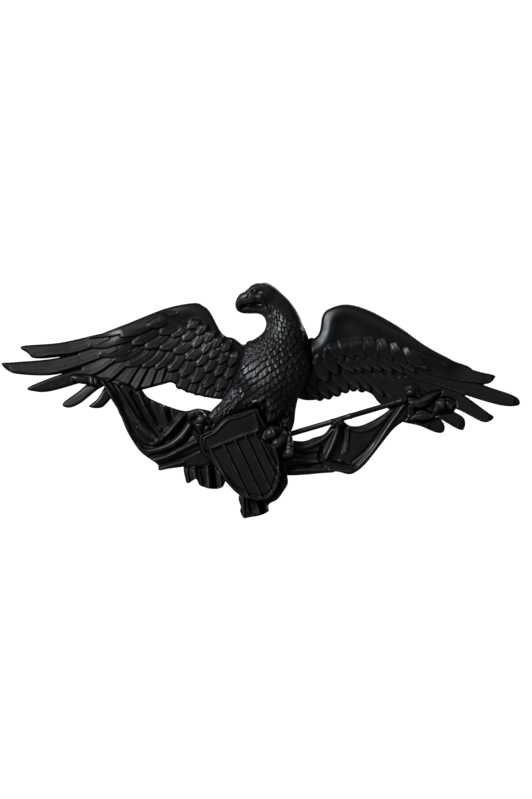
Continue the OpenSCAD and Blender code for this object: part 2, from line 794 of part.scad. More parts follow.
stay_plate();
eagle_body();
wing_left();
wing_right();
foot_left();
foot_right();
shield();
shield_chief();
draped_flag();
draped_flag_spearhead();
flag_tail_left();
flag_tail_lower();
guidon();
guidon_staff();
guidon_spearhead();
guidon_tassels();
guidon_streamer();
rivets();
post_left();
post_right();
washer_left();
washer_right();
nut_left();
nut_right();
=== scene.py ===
import math

import bpy
import numpy as np
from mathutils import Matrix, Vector
from mathutils.geometry import tessellate_polygon


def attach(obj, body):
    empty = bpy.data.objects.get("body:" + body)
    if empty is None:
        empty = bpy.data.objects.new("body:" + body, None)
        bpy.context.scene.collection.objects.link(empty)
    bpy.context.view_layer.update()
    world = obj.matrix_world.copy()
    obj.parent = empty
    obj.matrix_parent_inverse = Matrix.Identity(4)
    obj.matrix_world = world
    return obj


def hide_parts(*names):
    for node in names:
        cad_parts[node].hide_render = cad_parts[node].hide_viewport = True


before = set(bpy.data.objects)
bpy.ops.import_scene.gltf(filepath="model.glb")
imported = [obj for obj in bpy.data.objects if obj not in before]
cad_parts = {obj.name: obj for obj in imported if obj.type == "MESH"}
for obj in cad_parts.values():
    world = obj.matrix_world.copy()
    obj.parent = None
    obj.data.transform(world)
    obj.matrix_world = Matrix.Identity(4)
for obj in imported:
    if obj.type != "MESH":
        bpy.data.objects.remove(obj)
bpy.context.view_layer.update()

# Lengths are millimetres in the badge's plane (x, z) and heights are above the castings' flat backs.
MM = 0.001
STEP = 0.07
BACK_Y = -1.2
# clear space round a casting's grid, and how far its distances to an outline are worked out
MARGIN = 0.5
REACH = 2.2
# how far a casting runs in behind the one in front of it
OVERLAP = 0.1
# a feather's edge: a step DROP deep over EDGE, and inside it a rounding ROUND_DROP deep over ROUND_WIDTH
EDGE = 0.1
DROP = 0.8
ROUND_WIDTH = 0.36
ROUND_DROP = 0.22
# no relief is thinner than this; hollows are judged against the mean height within HOLLOW_REACH
LEAST_HEIGHT = 0.25
HOLLOW_REACH = 0.35
HOLLOW_FULL = 0.2
random = np.random.default_rng(7)


# Curves and the grids that reliefs are drawn on ------------------------------------

def smooth(points, closed=False, n=6):
    """The points of a curve that passes smoothly through the given ones."""
    p = np.array(points, float)
    count = len(p)
    spans = count if closed else count - 1
    t = (np.arange(n) / n)[:, None]
    out = []
    for i in range(spans):
        if closed:
            a, b, c, d = p[i - 1], p[i], p[(i + 1) % count], p[(i + 2) % count]
        else:
            a, b, c, d = p[max(i - 1, 0)], p[i], p[i + 1], p[min(i + 2, count - 1)]
        bend = 2 * a - 5 * b + 4 * c - d
        twist = 3 * b - 3 * c + d - a
        out.append(0.5 * (2 * b + (c - a) * t + bend * t**2 + twist * t**3))
    if not closed:
        out.append(p[-1:])
    return np.concatenate(out)


def along(t, values):
    """Values spread evenly along a curve, passing smoothly from one to the next."""
    fine = smooth([[v] for v in values])[:, 0]
    return np.interp(t, np.linspace(0, 1, len(fine)), fine)


def on_curve(points, t):
    """The point a share t of the way along a smooth curve, and its direction there."""
    q = smooth(points)
    reach = np.concatenate([[0], np.cumsum(np.linalg.norm(np.diff(q, axis=0), axis=1))])
    s = np.clip(t, 0, 1) * reach[-1]
    here = np.array([np.interp(s, reach, q[:, k]) for k in range(q.shape[1])])
    ahead = np.array([np.interp(min(s + 0.1, reach[-1]), reach, q[:, k]) for k in range(2)])
    behind = np.array([np.interp(max(s - 0.1, 0), reach, q[:, k]) for k in range(2)])
    way = ahead - behind
    return here, way / max(np.linalg.norm(way), 1e-9)


class Sheet:
    """A grid over one casting: body is the broad form, over is the detail laid on it."""

    def __init__(self, areas, cut_by=(), uncut=None):
        curves = [smooth(a, True) for a in areas]
        low = np.min([c.min(0) for c in curves], axis=0) - MARGIN
        high = np.max([c.max(0) for c in curves], axis=0) + MARGIN
        self.x = np.arange(math.floor(low[0] / STEP), math.ceil(high[0] / STEP) + 1) * STEP
        self.z = np.arange(math.floor(low[1] / STEP), math.ceil(high[1] / STEP) + 1) * STEP
        self.X, self.Z = np.meshgrid(self.x, self.z)
        self.inside = self.depth(areas)
        self.own = self.inside
        for front in cut_by:
            self.inside = np.minimum(self.inside, OVERLAP - self.depth(front))
        if uncut:
            self.inside = np.maximum(self.inside, np.minimum(self.own, self.depth(uncut)))
        self.body = np.full(self.X.shape, 1.0)
        self.over = np.zeros(self.X.shape)

    def window(self, low, high):
        rows = slice(*np.searchsorted(self.z, [low[1], high[1]]))
        cols = slice(*np.searchsorted(self.x, [low[0], high[0]]))
        return rows, cols

    def depth(self, areas):
        """How far inside the union of the outlines each point lies; negative outside."""
        best = np.full(self.X.shape, -REACH)
        for area in areas:
            q = smooth(area, True)
            near = np.full(self.X.shape, REACH)
            odd = np.zeros(self.X.shape, bool)
            for a, b in zip(q, np.roll(q, -1, 0)):
                w = self.window(np.minimum(a, b) - REACH, np.maximum(a, b) + REACH)
                x, z = self.X[w], self.Z[w]
                v = b - a
                u = np.clip(((x - a[0]) * v[0] + (z - a[1]) * v[1]) / max(v @ v, 1e-12), 0, 1)
                near[w] = np.minimum(near[w], np.hypot(x - a[0] - u * v[0], z - a[1] - u * v[1]))
                if a[1] != b[1]:
                    rows = slice(*np.searchsorted(self.z, sorted((a[1], b[1]))))
                    cross = a[0] + (self.z[rows] - a[1]) * v[0] / v[1]
                    odd[rows] ^= self.x[None, :] > cross[:, None]
            best = np.maximum(best, np.where(odd, near, -near))
        return best

    def beside(self, points, reach):
        """Near a curve: the window, share along it, signed distance (+ left) and distance."""
        q = smooth([p[:2] for p in points], n=5)
        w = self.window(q.min(0) - reach, q.max(0) + reach)
        x, z = self.X[w], self.Z[w]
        lengths = np.linalg.norm(np.diff(q, axis=0), axis=1)
        start = np.concatenate([[0], np.cumsum(lengths)])
        far = np.full(x.shape, 1e9)
        share, side = np.zeros(x.shape), np.zeros(x.shape)
        for k in range(len(q) - 1):
            a, v = q[k], q[k + 1] - q[k]
            u = np.clip(((x - a[0]) * v[0] + (z - a[1]) * v[1]) / max(v @ v, 1e-12), 0, 1)
            dx, dz = x - a[0] - u * v[0], z - a[1] - u * v[1]
            d = dx * dx + dz * dz
            nearer = d < far
            far = np.where(nearer, d, far)
            share = np.where(nearer, (start[k] + u * lengths[k]) / start[-1], share)
            side = np.where(nearer, v[0] * dz - v[1] * dx, side)
        d = np.sqrt(far)
        return w, share, np.copysign(d, side), d

    def blade(self, points, radii, level=0.0, lift=0.2, crown=0.1, tilt=0.12, shaft=0.03, root=0.0,
            bead=0.0):
        """A feather laid over what is there: it rises towards its tip and its raised side is the left one."""
        w, t, side, d = self.beside(points, max(radii))
        if not t.size:
            return
        r = np.interp(t, np.linspace(0, 1, len(radii)), radii)
        inner = r - d
        s = np.clip(d / np.maximum(r, 1e-6), 0, 1)
        h = level + lift * t + crown * (1 - s * s) + tilt * side / np.maximum(r, 1e-6)
        h += shaft * np.exp(-((d / 0.1) ** 2)) - 0.4 * shaft * np.exp(-(((d - 0.2) / 0.09) ** 2))
        h -= root * (1 - np.clip(t / 0.55, 0, 1)) ** 2
        h += bead * np.exp(-(((inner - 0.16) / 0.1) ** 2)) * (side * tilt > 0) * np.clip(t / 0.35, 0, 1)
        h -= ROUND_DROP * (1 - np.clip(inner / np.minimum(ROUND_WIDTH, 0.6 * r + 1e-6), 0, 1)) ** 2
        h -= DROP * (1 - np.clip(inner / EDGE, 0, 1)) ** 2
        self.over[w] = np.where(inner > 0, np.maximum(self.over[w], h), self.over[w])

    def shingle(self, edge, width, level=0.0, rise=0.4, round_off=0.16):
        """A broad blade known by its raised edge: the surface falls away to the right of the curve."""
        w, t, side, d = self.beside(edge, width)
        if not t.size:
            return
        into = -side
        ends = (t > 0) & (t < 1)
        h = level + rise * np.clip(1 - into / width, 0,
            None) ** 1.4 + 0.05 * np.sin(np.pi * np.clip(into / width, 0, 1))
        h -= DROP * (1 - np.clip(into / round_off, 0, 1)) ** 2
        h += 0.003 * np.sin(into * 9 + 1.5 * np.sin(t * 5))
        take = (into > 0) & (into < width) & ends
        self.over[w] = np.where(take, np.maximum(self.over[w], h), self.over[w])

    def tube(self, points, radii, blend=0.25, flat=1.0):
        """A round form of [x, z, height] points, blended into the broad form."""
        w, t, side, d = self.beside(points, max(radii))
        if not t.size:
            return
        r = along(t, radii)
        high = along(t, [p[2] for p in points])
        s = np.clip(d / np.maximum(r, 1e-6), 0, 1)
        h = high + flat * r * (np.sqrt(1 - s * s) - 1)
        h = np.where(d < r, h, -1e3)
        here = self.body[w]
        soft = blend * np.clip(1 - np.abs(h - here) / blend, 0, 1) ** 2 / 4
        self.body[w] = np.maximum(h, here) + soft

    def fold(self, points, radii, heights):
        """A soft ridge, or a groove where its height is negative."""
        w, t, side, d = self.beside(points, max(radii))
        if not t.size:
            return
        r = along(t, radii)
        high = along(t, heights)
        s = np.clip(d / r, 0, 1)
        self.body[w] += high * (1 - s * s) ** 2

    def folds(self, rows):
        for path, radii, heights in rows:
            self.fold(path, radii, heights)

    def swell(self, points, width, height):
        """A broad soft rise about a curve."""
        w, t, side, d = self.beside(points, 3 * width)
        self.body[w] += height * np.exp(-((d / width) ** 2))

    def height(self):
        return self.body + self.over


def blur(a, radius):
    """The mean round each point, by three running means each way."""
    n = max(1, int(round(radius / STEP)))
    for _ in range(3):
        for axis in (0, 1):
            pad = [(0, 0), (0, 0)]
            pad[axis] = (n + 1, n)
            c = np.cumsum(np.pad(a, pad, mode="edge"), axis=axis)
            size = a.shape[axis]
            hi = np.take(c, range(2 * n + 1, 2 * n + 1 + size), axis=axis)
            lo = np.take(c, range(size), axis=axis)
            a = (hi - lo) / (2 * n + 1)
    return a


# Meshes ---------------------------------------------------------------------------------

def make_object(name, verts, quads, tris, smooth_quads, material, node, shade=None):
    """A mesh from arrays in millimetres of the CAD frame; the first smooth_quads quads are smooth."""
    me = bpy.data.meshes.new(name)
    verts = np.asarray(verts, np.float32) * MM
    quads = np.asarray(quads, np.int32).reshape(-1, 4)
    tris = np.asarray(tris, np.int32).reshape(-1, 3)
    me.vertices.add(len(verts))
    me.vertices.foreach_set("co", verts.ravel())
    corners = np.concatenate([quads.ravel(), tris.ravel()]).astype(np.int32)
    me.loops.add(len(corners))
    me.loops.foreach_set("vertex_index", corners)
    faces = len(quads) + len(tris)
    start = np.concatenate([np.arange(len(quads)) * 4,
        4 * len(quads) + np.arange(len(tris)) * 3]).astype(np.int32)
    me.polygons.add(faces)
    me.polygons.foreach_set("loop_start", start)
    flags = np.zeros(faces, bool)
    flags[:smooth_quads] = True
    me.polygons.foreach_set("use_smooth", flags)
    if shade is not None:
        layer = me.attributes.new("hollow", "FLOAT", "POINT")
        layer.data.foreach_set("value", np.asarray(shade, np.float32))
    me.update(calc_edges=True)
    me.validate()
    me.materials.append(material)
    obj = bpy.data.objects.new(name, me)
    bpy.context.scene.collection.objects.link(obj)
    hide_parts(node)
    return obj


def drop_specks(keep, least=0.5):
    """Clear islands of cells that cover less than a given area."""
    label = np.where(keep, np.arange(1, keep.size + 1).reshape(keep.shape), 0)
    while True:
        wide = label.copy()
        wide[1:] = np.maximum(wide[1:], label[:-1])
        wide[:-1] = np.maximum(wide[:-1], label[1:])
        wide[:, 1:] = np.maximum(wide[:, 1:], label[:, :-1])
        wide[:, :-1] = np.maximum(wide[:, :-1], label[:, 1:])
        wide[~keep] = 0
        if (wide == label).all():
            break
        label = wide
    names, counts = np.unique(label[keep], return_counts=True)
    keep[np.isin(label, names[counts * STEP**2 < least])] = False


def nested(loops, verts):
    """The loops in groups: each outer loop with the holes inside it."""
    flat = [verts[loop][:, [0, 2]] for loop in loops]
    areas = [0.5 * np.sum(q[:, 0] * np.roll(q[:, 1], -1) - q[:, 1] * np.roll(q[:, 0], -1)) for q in flat]
    outward = np.sign(areas[int(np.argmax(np.abs(areas)))])
    groups = []
    for loop, q, area in zip(loops, flat, areas):
        if area * outward < 0:
            continue
        group = [loop]
        for other, r, hole in zip(loops, flat, areas):
            if hole * outward < 0:
                p, a, b = r[0], q, np.roll(q, -1, 0)
                spans = (a[:, 1] > p[1]) != (b[:, 1] > p[1])
                rise = np.where(spans, b[:, 1] - a[:, 1], 1)
                at = a[:, 0] + (p[1] - a[:, 1]) * (b[:, 0] - a[:, 0]) / rise
                if (spans & (at > p[0])).sum() % 2:
                    group.append(other)
        groups.append(group)
    return groups


def cast(sheet, name, node, material, slot="black_paint", rim=0.35, rim_width=0.4, back=BACK_Y, turn=-1):
    """The closed solid under a sheet's relief, with its outline at the sheet's edge."""
    S = sheet.inside
    gz, gx = np.gradient(S, STEP)
    size = np.maximum(np.hypot(gx, gz), 1e-6)
    centre = (S[1:, 1:] + S[:-1, 1:] + S[1:, :-1] + S[:-1, :-1]) / 4
    keep = np.zeros((S.shape[0] + 1, S.shape[1] + 1), bool)
    keep[1:-1, 1:-1] = centre > 0
    for _ in range(4):
        a, b, c, d = keep[:-1, :-1], keep[:-1, 1:], keep[1:, :-1], keep[1:, 1:]
        pinch = (a & d & ~b & ~c) | (b & c & ~a & ~d)
        if not pinch.any():
            break
        for i, j in np.argwhere(pinch):
            keep[i:i + 2, j:j + 2] = True
    drop_specks(keep)
    cells = keep[1:-1, 1:-1]
    used = keep[:-1, :-1] | keep[:-1, 1:] | keep[1:, :-1] | keep[1:, 1:]
    border = used & ~(keep[:-1, :-1] & keep[:-1, 1:] & keep[1:, :-1] & keep[1:, 1:])
    shift = np.where(border, np.clip(S, -0.8 * STEP, 0.8 * STEP), 0)
    x = sheet.X - shift * gx / size
    z = sheet.Z - shift * gz / size
    deep = np.where(border, 0, np.maximum(S, 0))
    h = sheet.height()
    high = h - rim * (1 - np.clip(deep / rim_width, 0, 1)) ** 2
    high = np.maximum(high, LEAST_HEIGHT)
    # the relief above or below the mean round it: the paint uses this to darken the hollows as painted shade
    # and to lighten the high edges, partly as wear and partly as a painted highlight
    hollow = np.clip((h - blur(h, HOLLOW_REACH)) / HOLLOW_FULL, -1, 1)
    number = np.full(S.shape, -1)
    number[used] = np.arange(used.sum())
    front = np.stack([x[used], BACK_Y + turn * high[used], z[used]], 1)
    i, j = np.nonzero(cells)
    quads = np.stack([number[i, j], number[i, j + 1], number[i + 1, j + 1], number[i + 1, j]], 1)
    if turn > 0:
        quads = quads[:, ::-1]
    # directed edges that belong to one cell only run round the border
    edges = np.concatenate([quads[:, [k, (k + 1) % 4]] for k in range(4)])
    key = edges[:, 0].astype(np.int64) * (used.sum() + 1) + edges[:, 1]
    mirror = edges[:, 1].astype(np.int64) * (used.sum() + 1) + edges[:, 0]
    rim_edges = edges[~np.isin(key, mirror)]
    follow = dict(zip(rim_edges[:, 0].tolist(), rim_edges[:, 1].tolist()))
    low_number = {v: used.sum() + k for k, v in enumerate(follow)}
    low = front[list(follow)].copy()
    low[:, 1] = back
    walls = [[b, a, low_number[a], low_number[b]] for a, b in follow.items()]
    loops, left = [], set(follow)
    while left:
        v = left.pop()
        loop = [v]
        while follow[loop[-1]] != v:
            loop.append(follow[loop[-1]])
            left.discard(loop[-1])
        loops.append(loop)
    verts = np.concatenate([front, low])
    tris = []
    for group in nested(loops, verts):
        flat = [[Vector((verts[v][0], verts[v][2], 0)) for v in loop] for loop in group]
        order = [low_number[v] for loop in group for v in loop]
        tris += [[order[k] for k in t] for t in tessellate_polygon(flat)]
    tris = np.array(tris)
    a, b, c = (verts[tris[:, k]] for k in range(3))
    faces_back = np.cross(b - a, c - a)[:, 1] * turn < 0
    tris[~faces_back] = tris[~faces_back][:, ::-1]
    shade = np.concatenate([hollow[used], np.zeros(len(low))])
    every = np.concatenate([quads, np.array(walls)])
    obj = make_object(name, verts, every, tris, len(quads), material, node, shade)
    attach(obj, "badge")
    return obj


def front_cast(sheet, node, **shape):
    """A painted casting of the badge's front."""
    cast(sheet, node + "_cast", node, PAINT, **shape)


def turned(profile, centre, around=96, ring=False, shape=None):
    """A body of revolution about +Y from (radius, y) points; ring closes the profile on itself."""
    angle = np.arange(around) * 2 * np.pi / around
    rows = [p for p in profile if p[0] > 0]
    verts, quads, tris = [], [], []
    for r, y in rows:
        radius = np.full(around, float(r))
        if shape is not None:
            radius = shape(radius, y, angle)
        verts.append(np.stack([centre[0] + radius * np.cos(angle), np.full(around, y),
            centre[1] + radius * np.sin(angle)], 1))
    count = len(rows)
    for k in range(count if ring else count - 1):
        a, b = k * around, ((k + 1) % count) * around
        for m in range(around):
            n = (m + 1) % around
            quads.append((a + m, b + m, b + n, a + n))
    verts = np.concatenate(verts)
    if not ring:
        for end, row in ((profile[0], 0), (profile[-1], count - 1)):
            pole = len(verts)
            verts = np.concatenate([verts, [[centre[0], end[1], centre[1]]]])
            for m in range(around):
                n = (m + 1) % around
                pair = (row * around + m, row * around + n)
                tris.append((pole, *pair) if row == 0 else (pole, *pair[::-1]))
    return verts, np.array(quads), np.array(tris).reshape(-1, 3)


def turned_object(name, parts, material, node, body, sharp=0.6):
    """One object of turned parts, smooth but for edges sharper than the given angle."""
    verts, quads, tris, n = [], [], [], 0
    for v, q, t in parts:
        verts.append(v)
        quads.append(q + n)
        tris.append(t + n)
        n += len(v)
    quads = np.concatenate(quads)
    obj = make_object(name, np.concatenate(verts), quads, np.concatenate(tris), len(quads), material, node)
    obj.data.set_sharp_from_angle(angle=sharp)
    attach(obj, body)
    return obj


# Materials ------------------------------------------------------------------------------

class Nodes:
    """A short way to write a material's nodes."""

    def __init__(self, name):
        self.material = bpy.data.materials.new(name)
        self.material.use_nodes = True
        self.tree = self.material.node_tree
        self.shader = self.tree.nodes["Principled BSDF"]
        self.place = self.tree.nodes.new("ShaderNodeTexCoord").outputs["Object"]

    def link(self, a, b):
        self.tree.links.new(a, b)

    def noise(self, scale, detail=4.0, rough=0.55, stretch=None):
        node = self.tree.nodes.new("ShaderNodeTexNoise")
        node.inputs["Scale"].default_value = scale
        node.inputs["Detail"].default_value = detail
        node.inputs["Roughness"].default_value = rough
        source = self.place
        if stretch is not None:
            mapping = self.tree.nodes.new("ShaderNodeMapping")
            mapping.inputs["Scale"].default_value = stretch
            self.link(source, mapping.inputs["Vector"])
            source = mapping.outputs["Vector"]
        self.link(source, node.inputs["Vector"])
        return node.outputs["Fac"]

    def ramp(self, source, stops):
        node = self.tree.nodes.new("ShaderNodeValToRGB")
        ramp = node.color_ramp
        while len(ramp.elements) < len(stops):
            ramp.elements.new(0.5)
        for element, (at, colour) in zip(ramp.elements, stops):
            element.position = at
            element.color = (*colour, 1) if len(colour) == 3 else colour
        self.link(source, node.inputs["Fac"])
        return node.outputs["Color"]

    def span(self, source, low, high, to_low, to_high):
        node = self.tree.nodes.new("ShaderNodeMapRange")
        for key, value in zip(("From Min", "From Max", "To Min", "To Max"), (low, high, to_low, to_high)):
            node.inputs[key].default_value = value
        self.link(source, node.inputs["Value"])
        return node.outputs["Result"]

    def mix(self, factor, a, b):
        node = self.tree.nodes.new("ShaderNodeMix")
        node.data_type = "RGBA"
        self.link(factor, node.inputs[0])
        for k, value in ((6, a), (7, b)):
            if isinstance(value, tuple):
                node.inputs[k].default_value = (*value, 1)
            else:
                self.link(value, node.inputs[k])
        return node.outputs[2]

    def math(self, kind, a, b):
        node = self.tree.nodes.new("ShaderNodeMath")
        node.operation = kind
        for k, value in enumerate((a, b)):
            if isinstance(value, (int, float)):
                node.inputs[k].default_value = value
            else:
                self.link(value, node.inputs[k])
        return node.outputs[0]

    def bump(self, height, strength, distance):
        node = self.tree.nodes.new("ShaderNodeBump")
        node.inputs["Strength"].default_value = strength
        node.inputs["Distance"].default_value = distance
        self.link(height, node.inputs["Height"])
        self.link(node.outputs["Normal"], self.shader.inputs["Normal"])

    def hollow(self):
        node = self.tree.nodes.new("ShaderNodeAttribute")
        node.attribute_name = "hollow"
        return node.outputs["Fac"]


def black_paint():
    """Satin black lacquer on a cast face: darkened with painted shade and rougher in the hollows, and lighter
    on the high edges, partly rubbed wear and partly a painted highlight.
    """
    m = Nodes("black_paint")
    patches = m.ramp(m.noise(260, 5), [(0.3, (0.0036, 0.0041, 0.0056)), (0.7, (0.0062, 0.0069, 0.0088))])
    # high picks out the raised edges, which are lightened below: partly rubbed wear, partly a painted
    # highlight
    high = m.span(m.hollow(), 0.25, 1.0, 0.0, 1.0)
    # low picks out the hollows: below, it darkens the colour there as painted shade and raises the roughness
    low = m.span(m.hollow(), -0.15, -0.9, 0.0, 1.0)
    speckle = m.span(m.noise(1700, 3), 0.45, 0.7, 0.25, 1.0)
    rubbed_edge_and_highlight = m.mix(m.math("MULTIPLY", high, speckle), patches, (0.052, 0.054, 0.057))
    m.link(m.mix(low, rubbed_edge_and_highlight, (0.0030, 0.0032, 0.0038)), m.shader.inputs["Base Color"])
    rough = m.span(m.noise(900, 4), 0.3, 0.7, 0.34, 0.46)
    m.link(m.math("ADD", rough, m.math("MULTIPLY", low, 0.2)), m.shader.inputs["Roughness"])
    m.shader.inputs["Specular IOR Level"].default_value = 0.5
    m.bump(m.noise(2600, 4, 0.6), 0.35, 0.00003)
    return m.material


def brass(name, light, dark, rough, grain):
    """Drawn or sheet brass with patches of tarnish."""
    m = Nodes(name)
    tarnish = m.span(m.noise(170, 6, 0.6), 0.42, 0.66, 0.0, 1.0)
    fine = m.ramp(m.noise(900, 3), [(0.3, tuple(0.8 * c for c in light)), (0.7, light)])
    m.link(m.mix(tarnish, fine, dark), m.shader.inputs["Base Color"])
    m.shader.inputs["Metallic"].default_value = 1.0
    m.link(m.math("ADD", m.math("MULTIPLY", tarnish, 0.22), rough), m.shader.inputs["Roughness"])
    m.bump(m.noise(700, 4, 0.6, stretch=grain), 0.3, 0.00003)
    return m.material


def steel():
    m = Nodes("washer_steel")
    lines = m.noise(600, 4, 0.6, stretch=(6.0, 1.0, 1.0))
    m.link(m.ramp(lines, [(0.3, (0.30, 0.31, 0.32)), (0.7, (0.50, 0.51, 0.52))]),
        m.shader.inputs["Base Color"])
    m.shader.inputs["Metallic"].default_value = 1.0
    m.link(m.span(lines, 0.3, 0.7, 0.26, 0.42), m.shader.inputs["Roughness"])
    m.bump(lines, 0.3, 0.00003)
    return m.material


PAINT = black_paint()
PLATE = brass("back_brass", (0.46, 0.31, 0.11), (0.17, 0.105, 0.045), 0.34, (1.0, 1.0, 5.0))
POST = brass("post_brass", (0.55, 0.38, 0.14), (0.30, 0.19, 0.07), 0.24, (1.0, 5.0, 1.0))
NUT = brass("nut_brass", (0.58, 0.40, 0.15), (0.32, 0.21, 0.08), 0.22, (1.0, 1.0, 1.0))
WASHER = steel()

# Outlines of the castings -----------------------------------------------------------------

def lobes(*centres):
    """Rounded feather ends that scallop the lower edge of a wing."""
    ring = [(0.62 * math.cos(a), 0.62 * math.sin(a)) for a in np.linspace(0, 2 * math.pi, 8,
        endpoint=False)]
    return [[(x + u, z + v) for u, v in ring] for x, z in centres]


body_area = [[
    (-0.6, 9.7), (0.35, 9.6), (1.4, 9.0), (2.3, 8.2), (3.6, 6.9), (4.7, 5.3), (5.6, 3.4), (6.3, 1.6), (6.7,
        -1.5),
    (6.2, -4.5), (4.9, -6.6), (4.4, -8.5), (4.1, -10.8), (3, -12), (-2, -13), (-9.2, -12.1),
    (-9, -10.6), (-7.6, -8.6), (-6.2, -7.2), (-4.9, -5.4), (-3.9, -3), (-3.1, -0.2), (-2.6, 1.15),
    (-1.6, 1.5), (-0.3, 2.5), (0.15, 3.6), (0.05, 4.4), (-0.35, 5), (-1.1, 5.3), (-2.2, 5.3), (-3.3, 5.38),
    (-4, 5.75), (-4.28, 6.4), (-4.1, 7.25), (-3.65, 7.95), (-3, 8.4), (-2.5, 8.68), (-1.8, 9.35)]]
left_blades = [
    [(-35.1, 0.6), (-34.1, -0.5), (-32.9, -1.2), (-28, -0.7), (-23, 0.6), (-22, 2.6), (-29.5, 1.1)],
    [(-38, -1.9), (-37, -3), (-35.2, -3.5), (-30.9, -3.6), (-27, -2.7), (-22, -1), (-22, 0.8), (-30, -1.1),
     (-36.2, -1.7)],
    [(-34.1, -5.3), (-32.9, -6), (-30.9, -5.9), (-27.3, -4.9), (-23, -3.6), (-21, -1.6), (-28, -3)],
    [(-29.2, -7.7), (-28.3, -8.3), (-26.6, -7.6), (-24.2, -5.7), (-22, -4.4), (-24.7, -4.3), (-27, -6)],
    [(-25.4, -8.1), (-23.7, -8.3), (-22.3, -7), (-20.6, -4.6), (-22.6, -4.6), (-24.1, -6.9)]]
wing_left_area = [[
    (-4, 1.4), (-5.6, 2), (-6.5, 2.9), (-7.9, 5.5), (-8.9, 6.4), (-10.3, 6.8), (-14.4, 6), (-19.4, 4),
    (-24.4, 2), (-27, 0.5), (-26, -3.6), (-22.3, -4.4), (-19.6, -5.2), (-18.4, -5.8), (-15, -5),
    (-13.4, -4.7), (-11.6, -5.9), (-8.8, -6.7), (-6.2, -7.1), (-2, -7.2), (-1, -2)], *left_blades,
    *lobes((-12.3, -5.03), (-11.1, -5.53), (-9.85, -5.93), (-8.6, -6.17), (-7.35, -6.33), (-6.1, -6.53))]
right_blades = [
    [(25.1, -0.7), (28.6, -2.3), (31, -3.1), (32.8, -3.5), (33.2, -3.9), (31.8, -4.9), (27, -4.6)],
    [(28, -3.6), (31.8, -5.1), (35.6, -6.4), (36.7, -7.2), (36.4, -8), (33.8, -7.9), (28.4, -6.3),
        (25, -5)],
    [(26, -4.8), (28.9, -6.6), (32.2, -9), (33, -9.6), (32.5, -10.2), (31.3, -10.3), (28.4, -8.8),
        (24.5, -7)],
    [(24, -7.2), (27.2, -8.8), (28.7, -9.8), (28.8, -11.1), (27.9, -11.4), (24, -9.1), (22, -8)],
    [(21, -8.8), (24.6, -9.6), (25.8, -10.6), (25.8, -11.7), (24.8, -11.9), (22.3, -10.9), (19.7, -10.2)]]
wing_right_area = [[
    (6, 1.3), (7.2, 1.8), (7.9, 2.8), (8.3, 5), (9.3, 6), (11.8, 6.6), (15.1, 5.7), (19.4, 3.3),
    (23, 0.7), (26.9, -1.4), (30, -2.9), (29, -6.4), (25, -9), (20, -9.4), (17.1, -8),
    (16.2, -7.3), (15.2, -6.2), (12.6, -5.6), (9, -6.9), (5, -7), (3, -4)], *right_blades,
    *lobes((6.65, -6.6), (7.9, -6.73), (9.15, -6.53), (10.4, -6.13), (11.6, -5.63), (12.8, -5.37),
        (14, -5.5))]
shield_area = [[
    (-9.4, -12.2), (-7.2, -11.1), (-5.6, -9.6), (-3.6, -8.9), (-1.1, -8.3), (-0.5, -9.5), (1, -12.1),
    (2, -15), (2.3, -17.3), (1.6, -20), (0.3, -21.4), (-1.6, -21.5), (-3.5, -20.9), (-5.6, -18.9),
    (-7.9, -15.8), (-9, -14.8)]]
draped_flag_area = [[
    (-22.9, -4.6), (-22.6, -6.2), (-21.1, -8.6), (-19.8, -11.8), (-18, -14.6), (-15.6, -16.4),
    (-15.3, -17.3), (-13.9, -17.1), (-11.6, -16.8), (-8, -16.4), (-6, -12), (-6, -9.6), (-9.4, -8.4),
    (-11.9, -8.7), (-16.5, -7), (-18, -5.4), (-20, -4)]]
# the folded hem at the flag's corner, which passes in front of the wing's lowest blade
hem_area = [[
    (-23.7, -4.3), (-23.1, -5.3), (-22.3, -6.75), (-21.3, -8.3), (-20.7, -9.5), (-19.8, -8.9), (-20.1,
        -7.2),
    (-20.7, -5.75), (-21.55, -4.9), (-22.7, -4.4)]]
guidon_area = [[
    (1.55, -13.25), (5.5, -13.1), (7, -12.6), (8.5, -12.1), (9.4, -11), (10.2, -9.9), (11, -9.9), (12.1,
        -10.8),
    (13.6, -10.9), (15.4, -10.2), (17.1, -9.2), (18.4, -8.3), (20.5, -7.6), (20.7, -8.9), (20, -10.2),
    (18.4, -11.5), (15.8, -14.8), (14.4, -16.5), (13.2, -17.5), (12.1, -17.9), (10.3, -17.5), (8.9, -17.7),
    (1.55, -17.75)]]
foot_left_area = [[
    (-11.2, -9), (-10.4, -8.6), (-9.2, -8.7), (-8.3, -9.5), (-7.5, -10.7), (-8.6, -12), (-9.6, -11.9),
    (-10.1, -11), (-11, -10.2)]]
foot_right_area = [[
    (0.2, -11), (1.6, -11), (3.2, -11.4), (3.9, -12.4), (4.1, -14), (4.2, -15), (3.2, -15.6), (2.3, -15.2),
    (1.4, -13.9), (0.2, -13.2), (-0.6, -12.4)]]
streamer_area = [[
    (20.9, -10.3), (21.3, -9.2), (22.6, -8.6), (24, -8.9), (24.4, -8), (24.6, -7), (26, -6.8),
    (27.4, -7.3), (27.3, -8.8), (25.4, -9.3), (24, -9.9), (22.6, -10.6)]]
right_spearhead_area = [[
    (20.6, -6.8), (22.2, -6.9), (23.8, -6.1), (25.4, -5.9), (24.6, -7), (23.4, -8.1), (22, -8.6), (21,
        -8.3)]]
left_spearhead_area = [[
    (-28, -3.7), (-26.4, -3.6), (-25, -3.7), (-23.6, -4.3), (-23.5, -5.2), (-25.2, -5), (-27, -4.7)]]
tassel_area = [
    [(20.2, -5.4), (20.9, -5.1), (21.6, -5.5), (21.6, -6.3), (21, -6.7), (20.3, -6.4)],
    [(20.7, -7.9), (21.3, -7.9), (21.5, -8.8), (21.3, -9.5), (20.7, -9.4), (20.5, -8.7)]]
flag_tail_left_area = [[
    (-11.5, -16.2), (-11.5, -18.6), (-11.1, -19.2), (-10.4, -18.8), (-9.9, -18.6), (-9.4, -19.5), (-8.2,
        -19.9),
    (-6.8, -20), (-5.8, -19.2), (-5.4, -16), (-8, -14.6)]]
